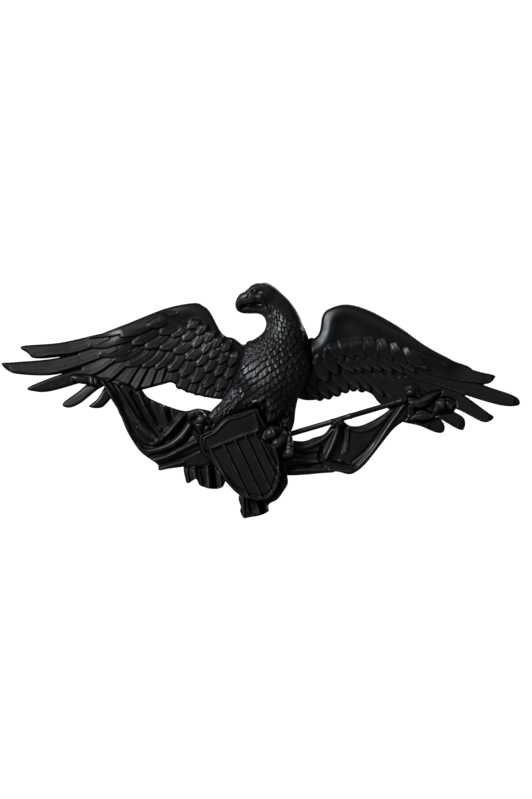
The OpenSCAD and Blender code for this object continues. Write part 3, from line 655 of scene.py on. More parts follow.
flag_tail_lower_area = [[
    (-3.6, -20.6), (-3.5, -22.6), (-3.6, -23.2), (-3.1, -24.2), (-2.2, -24.1), (-0.6, -23.8), (0.5, -23.2),
    (0.6, -22.2), (1.8, -21.5), (2.9, -20), (3.3, -19.2), (3.2, -18), (2.6, -17), (0, -17)]]


# The eagle's body ---------------------------------------------------------------------------

def feather_row(sheet, roots, tips, share, level, lift=0.22, crown=0.06, tilt=0.15, bend=0.25, root=0.0,
        bead=0.02):
    """Overlapping feathers, one for each root and tip, each as wide as its distance from the next."""
    roots, tips = np.array(roots), np.array(tips)
    mids = (roots + tips) / 2
    for k, (a, b) in enumerate(zip(roots, tips)):
        way = (b - a) / np.linalg.norm(b - a)
        side = np.array([-way[1], way[0]])
        gaps = [abs((mids[j] - mids[k]) @ side) for j in (k - 1, k + 1) if 0 <= j < len(mids)]
        r = share * min(max(gaps), 1.9) * random.uniform(0.97, 1.03)
        middle = mids[k] + side * bend * random.uniform(0.8, 1.2)
        sheet.blade([a, middle, b], [r * e for e in (0.8, 1, 1, 0.95, 0.55)], level, lift, crown, tilt,
            0.02, root, bead)


def eagle_body():
    s = Sheet(body_area, [shield_area, foot_left_area, foot_right_area])
    s.body[:] = 0.9
    # neck, breast, belly and thighs
    s.tube([(0.43, 7.47, 3.9), (2.01, 6.03, 4), (2.59, 4.45, 4.15), (2.59, 2.44, 4.4), (1.72, -0.29, 4.95),
        (1.15, -2.87, 5.3), (0.72, -5.46, 5.15), (0.43, -7.47, 4.5)],
        [2.3, 2.5, 2.7, 3.4, 5.0, 5.5, 4.8, 3.0], 1.2, 0.7)
    s.tube([(-1.87, -0.29, 3.6), (-2.3, -3.16, 4.1), (-2.73, -6.03, 3.6), (-4.6, -8.05, 3.2),
        (-7.04, -10.06, 2.9), (-8.48, -11.49, 2.6)], [2.2, 2.9, 2.6, 2.1, 1.5, 1.0], 1.4, 0.75)
    s.tube([(2.73, -4.31, 4.2), (3.02, -7.18, 3.7), (3.16, -9.77, 3), (2.87, -12.36, 2.6)],
        [2.8, 2.3, 1.7, 1.3], 0.9, 0.75)
    # dark gap between the thighs, under the belly
    s.fold([(-0.14, -7.47), (-0.14, -9.2), (-0.43, -10.63)], [0.5, 0.9, 1.0], [-0.5, -1.5, -1.6])
    # head, and the beak that curls over at its tip
    s.tube([(-0.14, 7.76, 4), (-1.01, 8.19, 4.1), (-1.72, 8.19, 3.9)], [1.9, 1.55, 1.15], 0.6, 0.85)
    s.tube([(1.58, 6.9, 3.6), (0.14, 8.05, 3.9)], [1.9, 1.7], 0.8, 0.85)
    s.tube([(-0.14, 6.75, 3.4), (-1.58, 6.25, 3), (-2.73, 5.89, 2.6), (-3.45, 5.75, 2.3)],
        [1.4, 1.0, 0.8, 0.55], 0.2, 0.7)
    s.tube([(-1.15, 7.62, 3.9), (-2.44, 7.4, 4), (-3.3, 7.11, 3.8), (-3.74, 6.47, 3.2), (-3.74, 5.75, 2.5)],
        [1.3, 1.15, 1.0, 0.7, 0.35], 0.2, 0.9)
    # brow, eye, cheek and jaw
    s.fold([(-2.3, 8.33), (-1.72, 8.74), (-1.01, 8.79), (-0.29, 8.41)], [0.2, 0.3, 0.32, 0.2],
        [0.05, 0.3, 0.32, 0.05])
    s.fold([(-1.87, 8.22), (-1.29, 8.19), (-0.72, 8.28)], [0.4, 0.62, 0.4], [-0.1, -0.3, -0.1])
    eye_x, eye_z = -1.37, 8.36
    eye_level = s.body[np.abs(s.z - eye_z).argmin(), np.abs(s.x - eye_x).argmin()] + 0.38
    s.tube([(eye_x, eye_z, eye_level), (eye_x + 0.05, eye_z, eye_level)], [0.34, 0.34], 0.02, 1.0)
    s.fold([(-1.44, 7.62), (-0.86, 7.41), (-0.29, 6.97)], [0.5, 0.75, 0.5], [0.1, 0.3, 0.1])
    s.fold([(-0.14, 7.47), (0.43, 6.61), (0.72, 5.6), (0.72, 4.6)], [0.35, 0.5, 0.45, 0.3],
        [-0.05, -0.3, -0.25, 0.0])
    s.fold([(-3.23, 6.32), (-2.44, 6.52), (-1.44, 6.58), (-0.43, 6.47)], [0.12, 0.17, 0.2, 0.16],
        [-0.12, -0.3, -0.34, -0.1])
    s.fold([(-2.16, 8.05), (-2.39, 7.62), (-2.3, 7.04)], [0.16, 0.18, 0.16], [-0.1, -0.22, -0.1])
    s.fold([(-2.73, 7.41), (-2.59, 7.36)], [0.15, 0.15], [-0.26, -0.26])
    # small scale feathers that grow down the neck and over the breast
    flow = [(0.14, 6.9), (1.44, 4.89), (2.73, 2.3), (2.73, -0.29), (2.01, -3.16), (1.29, -6.32),
        (0.72, -8.62)]
    half = [1.6, 2.6, 3.6, 5.4, 5.6, 5.0, 3.6]
    flow_length, row_gap = 17.5, 0.62
    row, t = 0, 0.04
    while t < 0.98:
        at, way = on_curve(flow, t)
        pitch = 0.52 + 0.62 * min(1, t / 0.55)
        wide = np.interp(t, np.linspace(0, 1, len(half)), half)
        side = np.array([-way[1], way[0]])
        count = int(2 * wide / pitch)
        for k in range(-count // 2, count // 2 + 1):
            across = (k + 0.5 * (row % 2)) * pitch + random.normal(0, 0.07)
            fan = 0.55 * across / wide + random.normal(0, 0.12)
            down = way * math.cos(fan) + side * math.sin(fan)
            p = at + side * across + way * random.normal(0, 0.09)
            a, b = p - down * 0.7 * pitch, p + down * 0.6 * pitch
            size = pitch * random.uniform(0.5, 0.62)
            s.blade([a, b], [0.7 * size, size, size, 0.45 * size], 0, 0.28, 0.06, 0.09, 0.0)
        t += row_gap * pitch / flow_length
        row += 1
    # shaggy feathers on both legs
    for line, wide, count in (([(-3.59, -4.6), (-5.6, -7.47), (-7.62, -10.06), (-8.62, -11.49)], 1.5, 90),
                              ([(2.44, -6.03), (2.16, -8.62), (1.87, -10.92)], 1.3, 55),
                              ([(-2.44, -6.03), (-1.87, -7.18), (-1.58, -8.33)], 1.2, 30)):
        for _ in range(count):
            at, way = on_curve(line, random.uniform(0, 1))
            side = np.array([-way[1], way[0]])
            p = at + side * random.uniform(-wide, wide)
            turn = random.normal(0, 0.3)
            down = way * math.cos(turn) + side * math.sin(turn)
            s.blade([p - down * 0.35, p + down * 0.55], [0.12, 0.2, 0.17, 0.06], 0.02, 0.22, 0.06, 0.05,
                0.0)
    # smooth head and beak: the detail fades out above the jaw
    smooth_part = np.clip((s.Z - 5.3 + 0.55 * (s.X - 1.0)) / 1.2, 0, 1)
    s.over *= 1 - smooth_part
    # the front stays behind the shield and the feet
    for front in (shield_area, foot_left_area, foot_right_area):
        gap = np.maximum(-s.depth(front), 0)
        s.body = np.where(gap < REACH, np.minimum(s.body, 2.7 + 1.6 * gap), s.body)
    front_cast(s, "eagle_body", rim=0.5, rim_width=0.5)


# The wings -------------------------------------------------------------------------------------

def wing_left():
    s = Sheet(wing_left_area, [body_area, left_spearhead_area, hem_area])
    s.body[:] = 1.0
    # the arm: a broad smooth rise that fades out along the leading edge
    s.swell([(-3.88, -0.57), (-5.32, 0.57), (-7.04, 2.59), (-8.48, 4.6), (-10.2, 5.75), (-12.5, 5.46),
        (-16.52, 3.74), (-20.12, 2.3)], 1.5, 0.6)
    s.swell([(-4.17, -2.3), (-7.33, 0.57), (-9.91, 3.45)], 3.2, 0.55)
    s.swell([(-9.34, -1.72), (-15.09, 0), (-20.83, 0)], 3.0, 0.25)
    # long blades: each overlaps the one below it
    blades = [
        ([(-15.09, -5.6), (-14.8, -4.74), (-14.37, -3.16), (-13.65, -1.44)], 1.5),
        ([(-16.95, -6.03), (-16.52, -5.46), (-15.95, -4.02), (-15.09, -2.01)], 1.6),
        ([(-18.82, -6.18), (-18.25, -5.46), (-17.53, -4.02), (-16.24, -1.72)], 1.7),
        ([(-21.98, -6.9), (-20.83, -5.89), (-19.83, -5.17), (-18.97, -3.88), (-17.53, -1.72)], 2.0),
        ([(-28.59, -8.62), (-26.58, -7.62), (-24.71, -6.32), (-23.13, -4.96), (-22.13, -4.31),
            (-20.83, -3.16), (-19.11, -1.72)], 1.9),
        ([(-27.73, -4.6), (-26.01, -4.02), (-24.71, -3.59), (-23.56, -3.02), (-22.27, -2.16),
            (-20.83, -1.29), (-19.11, -0.29)], 1.9),
        ([(-36.64, -4.17), (-33.76, -3.88), (-30.89, -3.45), (-28.02, -2.73), (-25.86, -2.01),
            (-23.71, -1.22), (-21.12, -0.14)], 2.1),
        ([(-34.05, -1.58), (-32.62, -1.22), (-30.89, -0.86), (-28.02, -0.57), (-25.86, 0), (-24.71, 0.43),
            (-22.27, 1.44)], 2.0)]
    for n, (edge, width) in enumerate(blades):
        s.shingle(edge[::-1], width, 0.02 + 0.03 * n, 0.42)
    # the ragged lower feathers near the body
    feather_row(s, [(-13.36, -3.16), (-11.93, -3.45), (-10.49, -3.88), (-9.2, -4.17), (-7.9, -4.45),
        (-6.61, -4.6), (-5.32, -4.74)][::-1],
        [(-14.51, -5.17), (-12.5, -5.6), (-11.06, -6.18), (-9.77, -6.52), (-8.55, -6.75), (-7.33, -6.9),
            (-6.03, -7.11)][::-1], 0.72, 0.06)
    # greater coverts, each row over the last
    feather_row(s, [(-4.89, -3.16), (-6.32, -2.87), (-7.9, -2.44), (-9.48, -1.87), (-10.92, -0.86),
        (-12.07, -0.14), (-13.36, 0.29), (-14.66, 0.43), (-16.09, 0.43), (-17.67, 0.72)],
        [(-5.17, -5.6), (-6.75, -5.32), (-8.62, -4.89), (-10.34, -4.17), (-11.93, -3.3), (-13.65, -2.59),
            (-15.52, -2.3), (-17.39, -2.16), (-19.54, -2.01), (-21.55, -1.29)], 0.72, 0.26)
    s.blade([(-18.82, 1.29), (-21.12, -0.14), (-23.56, -0.57)], [0.8, 0.95, 0.9, 0.5], 0.32, 0.2, 0.06,
        0.14, 0.0, 0.0, 0.05)
    s.blade([(-16.52, 2.59), (-20.55, 1.72), (-23.13, 0.86), (-25, 0.72)], [0.6, 0.85, 0.85, 0.75, 0.45],
        0.4, 0.18, 0.06, 0.14, 0.0, 0.0, 0.05)
    feather_row(s, [(-3.88, -1.44), (-5.03, -1.58), (-6.32, -1.15), (-7.62, -0.72), (-8.76, 0),
        (-9.77, 0.86), (-11.06, 1.72), (-12.5, 2.3), (-13.94, 2.87), (-15.09, 3.3)],
        [(-4.17, -4.02), (-5.6, -3.74), (-7.04, -3.3), (-8.48, -2.73), (-9.63, -1.87), (-11.06, -0.86),
            (-12.79, 0), (-14.8, 0.43), (-16.95, 0.57), (-18.82, 1.01)], 0.72, 0.52)
    s.blade([(-14.22, 4.89), (-16.81, 3.59), (-19.11, 2.59), (-20.55, 2.16)], [0.5, 0.85, 0.9, 0.8, 0.45],
        0.56, 0.16, 0.05, 0.14, 0.0, 0.5, 0.05)
    s.blade([(-12.79, 5.46), (-17.96, 3.88), (-21.98, 2.59), (-25.29, 2.01)], [0.6, 0.85, 0.85, 0.7, 0.35],
        0.5, 0.16, 0.05, 0.12, 0.0, 0.5, 0.05)
    feather_row(s, [(-3.45, 0), (-4.74, 0.14), (-5.89, 0.43), (-7.18, 1.15), (-8.33, 2.01), (-9.34, 3.02),
        (-10.34, 3.59), (-11.21, 4.17), (-12.21, 4.6), (-13.36, 5.17)],
        [(-3.59, -2.3), (-5.03, -2.01), (-6.47, -1.58), (-7.76, -0.86), (-8.91, -0.14), (-10.2, 0.72),
            (-11.64, 1.72), (-13.22, 2.16), (-14.8, 2.59), (-16.52, 3.59)], 0.7, 0.72, 0.18, root=1.0)
    # the last, soft row dies into the arm
    feather_row(s, [(-5.6, 1.72), (-6.75, 2.44), (-7.76, 3.3), (-8.91, 4.17), (-9.91, 4.74)],
        [(-6.03, -0.14), (-7.33, 0.43), (-8.48, 1.29), (-9.63, 2.44),
            (-10.92, 3.3)], 0.6, 0.78, 0.12, 0.04, 0.08, root=1.2)
    front_cast(s, "wing_left")


def rimmed_row(sheet, rims, level, tilt, root):
    """Long feathers known by the raised left edge of each, given as three points from root to tip."""
    for rim in rims:
        a, b, c = (np.array(p) for p in rim)
        way = (c - a) / np.linalg.norm(c - a)
        inward = np.array([-way[1], way[0]]) * 0.8
        path = [a + inward, b + inward, c + inward * 0.9]
        sheet.blade(path, [0.7, 0.95, 0.95, 0.8, 0.42], level, 0.2, 0.05, tilt, 0.0, root, 0.12)


def wing_right():
    s = Sheet(wing_right_area, [body_area, guidon_area, streamer_area, right_spearhead_area])
    s.body[:] = 1.0
    s.swell([(6.47, -0.29), (8.19, 0.57), (9.2, 2.3), (9.77, 4.6), (11.35, 5.6), (13.94, 4.89),
        (18.25, 2.59), (22.85, 0.14), (26.01, -1.58)], 1.35, 0.75)
    s.swell([(6.75, -3.16), (9.34, -0.29), (12.21, 2.3), (17.1, 1.72), (22.27, -0.29)], 3.2, 0.6)
    blades = [
        ([(22.85, -11.78), (20.83, -10.06), (18.82, -7.76), (17.67, -5.17)], 2.1),
        ([(27.44, -11.64), (25.14, -10.06), (22.85, -8.33), (20.55, -6.32), (19.11, -4.02)], 2.2),
        ([(31.75, -10.63), (29.45, -9.48), (27.44, -8.48), (25.14, -7.18), (22.85, -5.89), (20.12, -4.02)],
            2.3),
        ([(35.49, -8.48), (32.33, -7.62), (29.45, -6.82), (27.3, -6.03), (24.57, -5.17), (21.55, -4.31),
            (18.68, -3.16)], 2.4),
        ([(32.33, -5.17), (30.46, -4.81), (28.3, -4.6), (25.14, -4.02), (22.27, -3.02), (19.4, -1.72)],
            2.2)]
    for n, (edge, width) in enumerate(blades):
        s.shingle(edge, width, 0.02 + 0.03 * n, 0.4, 0.18)
    # lower feathers near the body, then the long ones that show a bright left edge
    for x, z, r in [(5.32, -7.04, 0.7), (6.75, -7.18, 0.7)]:
        s.blade([(x - 0.9, z + 4.0), (x - 0.5, z + 1.8), (x, z)], [0.6 * r, r, r, 0.55 * r], 0.1, 0.2, 0.12,
            -0.16)
    lower_rims = [
        [(5.6, -4.74), (6.18, -6.03), (6.9, -7.04)], [(6.9, -4.89), (7.62, -5.75), (8.48, -6.9)],
        [(8.19, -4.02), (9.05, -5.46), (10.06, -6.61)], [(9.48, -3.45), (10.34, -4.74), (11.35, -6.18)],
        [(10.92, -2.87), (11.78, -4.31), (12.93, -5.75)], [(12.5, -2.59), (13.36, -4.02), (14.37, -5.89)],
        [(13.94, -2.3), (14.66, -4.02), (16.24, -6.61)], [(15.09, -2.44), (15.95, -4.02), (18.1, -7.62)],
        [(16.24, -2.73), (17.24, -4.6), (19.4, -7.47)], [(17.39, -2.59), (18.39, -4.45), (20.12, -7.33)],
        [(18.53, -2.3), (19.83, -4.31), (21.7, -6.9)]]
    rimmed_row(s, lower_rims, 0.18, -0.22, 0.0)
    upper_rims = [
        [(10.34, -0.72), (10.78, -2.01), (12.07, -3.3)], [(11.49, -0.29), (12.07, -1.87), (13.22, -3.16)],
        [(12.64, 0.14), (13.22, -1.58), (14.51, -3.02)], [(13.79, 0.29), (14.51, -1.44), (15.95, -3.16)],
        [(15.09, 0.29), (15.95, -1.58), (17.53, -3.3)], [(16.38, 0.14), (17.39, -1.72), (19.11, -3.45)],
        [(17.82, 0), (18.97, -1.72), (20.83, -3.3)], [(19.4, -0.29), (20.69, -1.72), (22.7, -3.02)]]
    rimmed_row(s, upper_rims, 0.46, -0.2, 1.0)
    feather_row(s, [(6.47, -2.3), (7.9, -1.44), (9.2, -0.29)],
        [(7.04, -4.89), (8.76, -4.02), (10.2, -3.02)], 0.66, 0.42, tilt=-0.16, bend=-0.2)
    # soft coverts, the top row almost lost in the smooth arm
    feather_row(s, [(9.77, 1.44), (11.21, 2.01), (12.79, 2.3), (14.51, 2.3), (16.24, 2.01), (17.96, 1.44),
        (19.68, 0.72)],
        [(11.06, -1.15), (12.64, -0.86), (14.22, -0.86), (16.09, -1.01), (18.1, -1.15), (20.12, -1.58),
            (22.27, -1.87)], 0.68, 0.6, 0.14, 0.04, -0.12, -0.25, 1.2)
    front_cast(s, "wing_right")


# The feet, the shield and the flags ----------------------------------------------------------------

def foot_left():
    s = Sheet(foot_left_area)
    s.body[:] = 2.0
    s.tube([(-8.48, -9.48, 2.9), (-9.63, -8.91, 3.3), (-10.63, -9.34, 2.9), (-11.06, -10.2, 2.3)],
        [0.62, 0.66, 0.56, 0.28], 0.2, 0.9)
    s.tube([(-8.05, -10.06, 3.1), (-9.05, -9.91, 3.6), (-9.41, -10.92, 3.3), (-9.2, -11.78, 2.6)],
        [0.6, 0.66, 0.58, 0.24], 0.15, 0.9)
    s.tube([(-7.76, -10.92, 2.7), (-8.33, -11.21, 3), (-8.62, -11.78, 2.5)], [0.4, 0.42, 0.22], 0.15, 0.9)
    for line in ([(-8.91, -8.91), (-9.05, -9.48)], [(-9.91, -8.62), (-10.06, -9.34)],
            [(-8.33, -9.91), (-8.91, -10.49)], [(-9.05, -10.63), (-9.77, -10.63)]):
        s.fold(line, [0.13, 0.13], [-0.16, -0.16])
    front_cast(s, "foot_left", rim=0.4, rim_width=0.3)


def foot_right():
    s = Sheet(foot_right_area)
    s.body[:] = 2.2
    s.tube([(2.59, -11.21, 2.9), (1.29, -11.49, 3.5), (0.29, -12.07, 3.7), (-0.43, -12.93, 3)],
        [0.7, 0.68, 0.6, 0.28], 0.2, 0.9)
    s.tube([(3.02, -12.07, 3), (2.3, -12.93, 3.7), (1.58, -13.65, 3.9), (0.72, -14.08, 3.1)],
        [0.66, 0.68, 0.6, 0.26], 0.15, 0.9)
    s.tube([(3.59, -12.64, 3), (3.59, -13.94, 3.6), (3.3, -14.8, 3.6), (2.59, -15.52, 2.9)],
        [0.6, 0.64, 0.56, 0.26], 0.15, 0.9)
    s.tube([(3.88, -11.78, 2.8), (4.17, -13.22, 3), (3.88, -14.22, 2.7)], [0.4, 0.42, 0.3], 0.15, 0.9)
    for x, z, h, r in ((0.85, -12.0, 4.1, 0.82), (1.75, -13.35, 4.2, 0.72), (3.55, -14.7, 4.0, 0.76),
            (-0.1, -12.7, 3.6, 0.5)):
        s.tube([(x, z, h), (x + 0.05, z, h)], [r, r], 0.1, 1.0)
    for line in ([(0.86, -11.21), (1.15, -12.07)], [(1.72, -12.5), (2.3, -13.22)],
            [(3.02, -13.51), (3.88, -13.79)], [(-0.14, -12.07), (0.43, -12.64)]):
        s.fold(line, [0.14, 0.14], [-0.18, -0.18])
    front_cast(s, "foot_right", rim=0.4, rim_width=0.3)


SHIELD_H = 3.35
chief_area = [[(-8.91, -12.64), (-7.33, -11.64), (-5.46, -9.91), (-3.59, -9.34), (-1.58, -8.62),
    (-1.15, -9.48), (-0.86, -11.64), (-3.02, -12.5), (-5.89, -13.65), (-8.33, -14.37)]]


def shield():
    s = Sheet(shield_area, [foot_left_area, foot_right_area])
    s.body[:] = SHIELD_H - 0.1
    s.swell([(-5.32, -11.78), (-3.59, -15.8), (-1.87, -19.4)], 4.2, 0.22)
    # narrow raised pales that lean with the shield
    for a, b in ([(-7.76, -14.37), (-3.88, -21.12)], [(-5.89, -13.65), (-2.3, -21.12)],
            [(-4.31, -12.93), (-0.57, -20.83)], [(-2.87, -12.21), (0.86, -20.12)],
            [(-1.58, -11.64), (1.87, -18.97)], [(-0.43, -12.93), (2.16, -17.82)]):
        s.fold([a, b], [0.32, 0.32, 0.28], [0.46, 0.46, 0.36])
    # a bead inside the edge, with a narrow channel beside it
    bead = np.exp(-(((s.own - 0.34) / 0.13) ** 2))
    s.over += 0.34 * bead - 0.22 * np.exp(-(((s.own - 0.7) / 0.13) ** 2))
    front_cast(s, "shield", rim=0.3, rim_width=0.3)


def shield_chief():
    s = Sheet(chief_area, [foot_right_area])
    s.body[:] = SHIELD_H + 0.4
    s.swell([(-5.32, -11.78), (-3.59, -11.21)], 3.0, 0.1)
    s.over -= 0.2 * np.clip((s.own - 0.36) / 0.12, 0, 1)
    front_cast(s, "shield_chief", rim=0.2, rim_width=0.16, back=-3.5)


def draped_flag():
    s = Sheet([*draped_flag_area, *hem_area], [wing_left_area, body_area, foot_left_area, shield_area],
        hem_area)
    s.body[:] = 1.15
    s.folds([
        ([(-23.56, -4.6), (-22.56, -5.89), (-21.26, -8.33), (-19.83, -11.49), (-17.96, -13.79)],
            [0.5, 0.75, 0.9, 0.95, 0.5], [0.9, 1.3, 1.1, 0.7, 0.2]),
        ([(-21.84, -4.89), (-20.98, -6.47), (-19.54, -8.91), (-18.39, -10.92)], [0.26, 0.36, 0.4, 0.3],
            [-0.4, -0.7, -0.6, -0.3]),
        ([(-21.55, -4.89), (-20.26, -7.18), (-18.82, -9.77), (-16.95, -12.07), (-15.37, -12.93)],
            [0.35, 0.6, 0.8, 1.0, 0.8], [0.5, 0.8, 0.8, 0.8, 0.5]),
        ([(-19.25, -6.18), (-17.96, -8.33), (-16.52, -10.63), (-15.09, -12.5)], [0.45, 0.6, 0.65, 0.45],
            [-0.6, -0.9, -1.0, -0.7]),
        ([(-18.1, -6.32), (-17.24, -8.33), (-16.09, -10.34), (-15.09, -11.49)], [0.35, 0.5, 0.55, 0.35],
            [0.6, 0.95, 0.9, 0.4]),
        ([(-16.52, -7.18), (-16.24, -9.2), (-15.37, -10.92)], [0.4, 0.45, 0.35], [-0.2, -0.35, -0.25]),
        ([(-14.8, -7.76), (-14.51, -9.2), (-13.94, -10.63)], [0.3, 0.4, 0.3], [0.5, 0.6, 0.3]),
        ([(-13.79, -8.33), (-13.79, -9.48), (-13.36, -10.34)], [0.3, 0.4, 0.3], [-0.5, -0.7, -0.4]),
        ([(-16.24, -13.65), (-14.37, -12.36), (-12.93, -10.78), (-11.64, -9.34), (-10.49, -8.76)],
            [0.4, 0.65, 0.7, 0.6, 0.4], [0.4, 1.0, 1.15, 0.9, 0.4]),
        ([(-15.37, -13.07), (-13.36, -12.07), (-11.64, -10.06), (-10.63, -9.2)], [0.3, 0.36, 0.36, 0.3],
            [-0.3, -0.45, -0.45, -0.2]),
        ([(-16.52, -14.51), (-13.94, -13.79), (-11.93, -12.36), (-10.34, -10.06)], [0.5, 0.8, 0.95, 0.7],
            [0.35, 0.6, 0.7, 0.4]),
        ([(-16.67, -15.37), (-14.37, -14.66), (-12.5, -13.79), (-10.49, -12.36)], [0.3, 0.34, 0.34, 0.3],
            [-0.3, -0.4, -0.35, -0.1]),
        ([(-16.52, -15.95), (-14.22, -15.37), (-12.21, -14.37), (-9.91, -13.22)], [0.4, 0.6, 0.7, 0.6],
            [0.3, 0.5, 0.55, 0.4]),
        ([(-15.66, -16.67), (-13.36, -15.95), (-11.35, -15.23), (-9.63, -14.51)], [0.25, 0.3, 0.3, 0.25],
            [-0.3, -0.42, -0.4, -0.2]),
        ([(-15.09, -17.1), (-13.36, -16.52), (-11.64, -16.09)], [0.35, 0.4, 0.35], [0.3, 0.35, 0.3]),
        ([(-19.4, -11.78), (-18.39, -13.22), (-16.81, -13.94), (-15.09, -13.65)], [0.5, 0.6, 0.5, 0.3],
            [-0.2, -0.45, -0.5, -0.2])])
    front_cast(s, "draped_flag", rim=0.4, rim_width=0.35)


def draped_flag_spearhead():
    s = Sheet(left_spearhead_area, [draped_flag_area])
    s.body[:] = 1.5
    s.tube([(-27.87, -3.81, 1.9), (-27.01, -4.09, 2.2), (-26.01, -4.31, 2.1), (-25.29, -4.45, 1.9)],
        [0.14, 0.42, 0.4, 0.3], 0.15, 0.9)
    s.tube([(-25, -3.88, 2.1), (-24.86, -4.6, 2.3), (-24.78, -5.32, 2.1)], [0.34, 0.4, 0.34], 0.1, 0.9)
    s.tube([(-24.43, -4.02, 2), (-24.28, -4.74, 2.2), (-24.28, -5.46, 2)], [0.3, 0.34, 0.3], 0.1, 0.9)
    front_cast(s, "draped_flag_spearhead", rim=0.3, rim_width=0.22)


def flag_tail_left():
    s = Sheet(flag_tail_left_area, [draped_flag_area, shield_area])
    s.body[:] = 0.95
    for path, r, h in (
            ([(-11.21, -16.38), (-11.21, -17.82), (-11.06, -18.97)], 0.3, 0.3),
            ([(-10.2, -16.38), (-10.2, -17.53), (-10.06, -18.53)], 0.62, 0.35),
            ([(-9.2, -16.38), (-9.05, -17.82), (-8.76, -19.25)], 0.3, -0.35),
            ([(-8.33, -16.38), (-8.19, -18.1), (-8.05, -19.83)], 0.62, 0.8),
            ([(-7.47, -16.38), (-7.33, -18.1), (-7.18, -19.83)], 0.32, -0.5),
            ([(-6.61, -16.67), (-6.47, -18.1), (-6.32, -19.83)], 0.4, 0.3)):
        s.fold(path, [r, r, r], [h, h, 1.3 * h])
    s.fold([(-11.49, -16.88), (-9.91, -17.1), (-8.48, -16.88)], [0.2, 0.2, 0.2], [-0.3, -0.3, -0.3])
    s.over -= 0.12 * np.exp(-(((s.own - 0.3) / 0.09) ** 2))
    front_cast(s, "flag_tail_left", rim=0.35, rim_width=0.25)


def flag_tail_lower():
    s = Sheet(flag_tail_lower_area, [shield_area, guidon_area])
    s.body[:] = 1.0
    for path, r, h in (
            ([(-3.16, -20.69), (-3.16, -22.41), (-3.02, -23.85)], 0.4, 0.35),
            ([(-2.16, -21.41), (-2.16, -22.41), (-1.87, -23.42)], 0.34, -0.5),
            ([(-1.58, -21.41), (-1.15, -22.41), (-0.86, -23.28)], 0.45, 0.75),
            ([(-0.72, -21.55), (-0.43, -22.56), (-0.29, -23.28)], 0.3, -0.5),
            ([(-0.29, -21.41), (0.14, -22.41), (0.43, -22.99)], 0.4, 0.7),
            ([(1.01, -18.39), (1.01, -20.12), (1.29, -21.41)], 0.6, 0.3)):
        s.fold(path, [r, r, r], [h, h, 1.2 * h])
    s.fold([(-3.59, -22.7), (-2.44, -23.28), (-1.01, -23.56)], [0.24, 0.26, 0.22], [0.3, 0.35, 0.25])
    for x, z, h in [(1.87, -20.69, 1.75), (2.59, -19.68, 1.7), (2.87, -18.68, 1.65)]:
        s.tube([(x, z, h), (x + 0.02, z, h)], [0.5, 0.5], 0.08, 0.9)
    front_cast(s, "flag_tail_lower", rim=0.35, rim_width=0.25)


def guidon():
    s = Sheet(guidon_area, [foot_right_area, shield_area, streamer_area, right_spearhead_area, tassel_area])
    s.body[:] = 1.15
    s.folds([
        ([(10.49, -10.06), (10.34, -11.78), (9.63, -13.79), (8.76, -15.52)], [0.6, 0.7, 0.75, 0.55],
            [0.8, 0.75, 0.8, 0.8]),
        ([(11.21, -10.63), (11.21, -12.64), (10.92, -14.66)], [0.3, 0.34, 0.3], [-0.2, -0.35, -0.2]),
        ([(11.93, -10.63), (11.93, -12.64), (11.64, -14.66)], [0.35, 0.4, 0.35], [0.4, 0.3, 0.15]),
        ([(8.19, -14.08), (7.9, -15.52), (8.48, -16.67)], [0.4, 0.5, 0.35], [-0.6, -0.7, -0.4]),
        ([(3.3, -13.79), (5.75, -13.94), (8.19, -12.93), (9.77, -11.49)], [0.5, 0.6, 0.6, 0.4],
            [0.3, 0.35, 0.4, 0.3]),
        ([(3.59, -14.51), (5.89, -14.94), (8.19, -14.66)], [0.25, 0.3, 0.25], [-0.2, -0.35, -0.3]),
        ([(3.3, -15.66), (5.75, -15.95), (7.9, -16.09)], [0.7, 0.75, 0.5], [0.5, 0.45, 0.3]),
        ([(3.3, -16.81), (5.75, -16.67), (8.19, -16.24)], [0.24, 0.28, 0.24], [-0.3, -0.4, -0.35]),
        ([(3.59, -17.39), (6.18, -17.24), (8.76, -17.24)], [0.4, 0.42, 0.35], [0.3, 0.3, 0.25]),
        ([(9.77, -16.09), (11.35, -16.52), (13.07, -16.81)], [0.26, 0.32, 0.26], [-0.35, -0.5, -0.3]),
        ([(9.34, -17.24), (11.06, -17.39), (12.5, -17.39)], [0.4, 0.45, 0.3], [0.3, 0.35, 0.3]),
        ([(19.97, -7.9), (17.96, -10.78), (15.37, -14.66), (13.36, -16.81)], [0.4, 0.5, 0.5, 0.4],
            [0.3, 0.4, 0.4, 0.3]),
        ([(19.11, -8.33), (17.1, -10.92), (14.51, -14.37), (12.5, -16.09)], [0.3, 0.3, 0.3, 0.3],
            [-0.2, -0.3, -0.3, -0.2]),
        ([(11.64, -11.21), (13.36, -11.64), (15.37, -11.21), (17.39, -9.77)], [0.3, 0.4, 0.4, 0.3],
            [0.2, 0.25, 0.25, 0.1]),
        ([(10.85, -15.95), (11.06, -15.95)], [0.34, 0.34], [0.4, 0.4])])
    # the hem passes over the staff and is tied round it
    s.tube([(9.48, -10.63, 1.9), (10.34, -10.06, 2.3), (11.35, -9.91, 2.3), (12.21, -10.2, 1.9)],
        [0.6, 0.95, 0.95, 0.6], 0.4, 0.8)
    for x in (5, 8):
        s.fold([(x / 2 + 7.5, -9.7), (x / 2 + 7.7, -10.7)], [0.16, 0.16], [-0.16, -0.16])
    front_cast(s, "guidon", rim=0.4, rim_width=0.35)


def guidon_spearhead():
    s = Sheet(right_spearhead_area, [tassel_area])
    s.body[:] = 1.5
    s.tube([(20.69, -7.62, 2), (22.27, -7.62, 2.3), (23.56, -6.9, 2.1), (25.14, -6.03, 1.6)],
        [0.42, 0.72, 0.6, 0.16], 0.2, 0.85)
    s.fold([(21.12, -7.62), (22.85, -7.33), (24.86, -6.18)], [0.16, 0.18, 0.1], [0.14, 0.2, 0.08])
    front_cast(s, "guidon_spearhead", rim=0.3, rim_width=0.3)


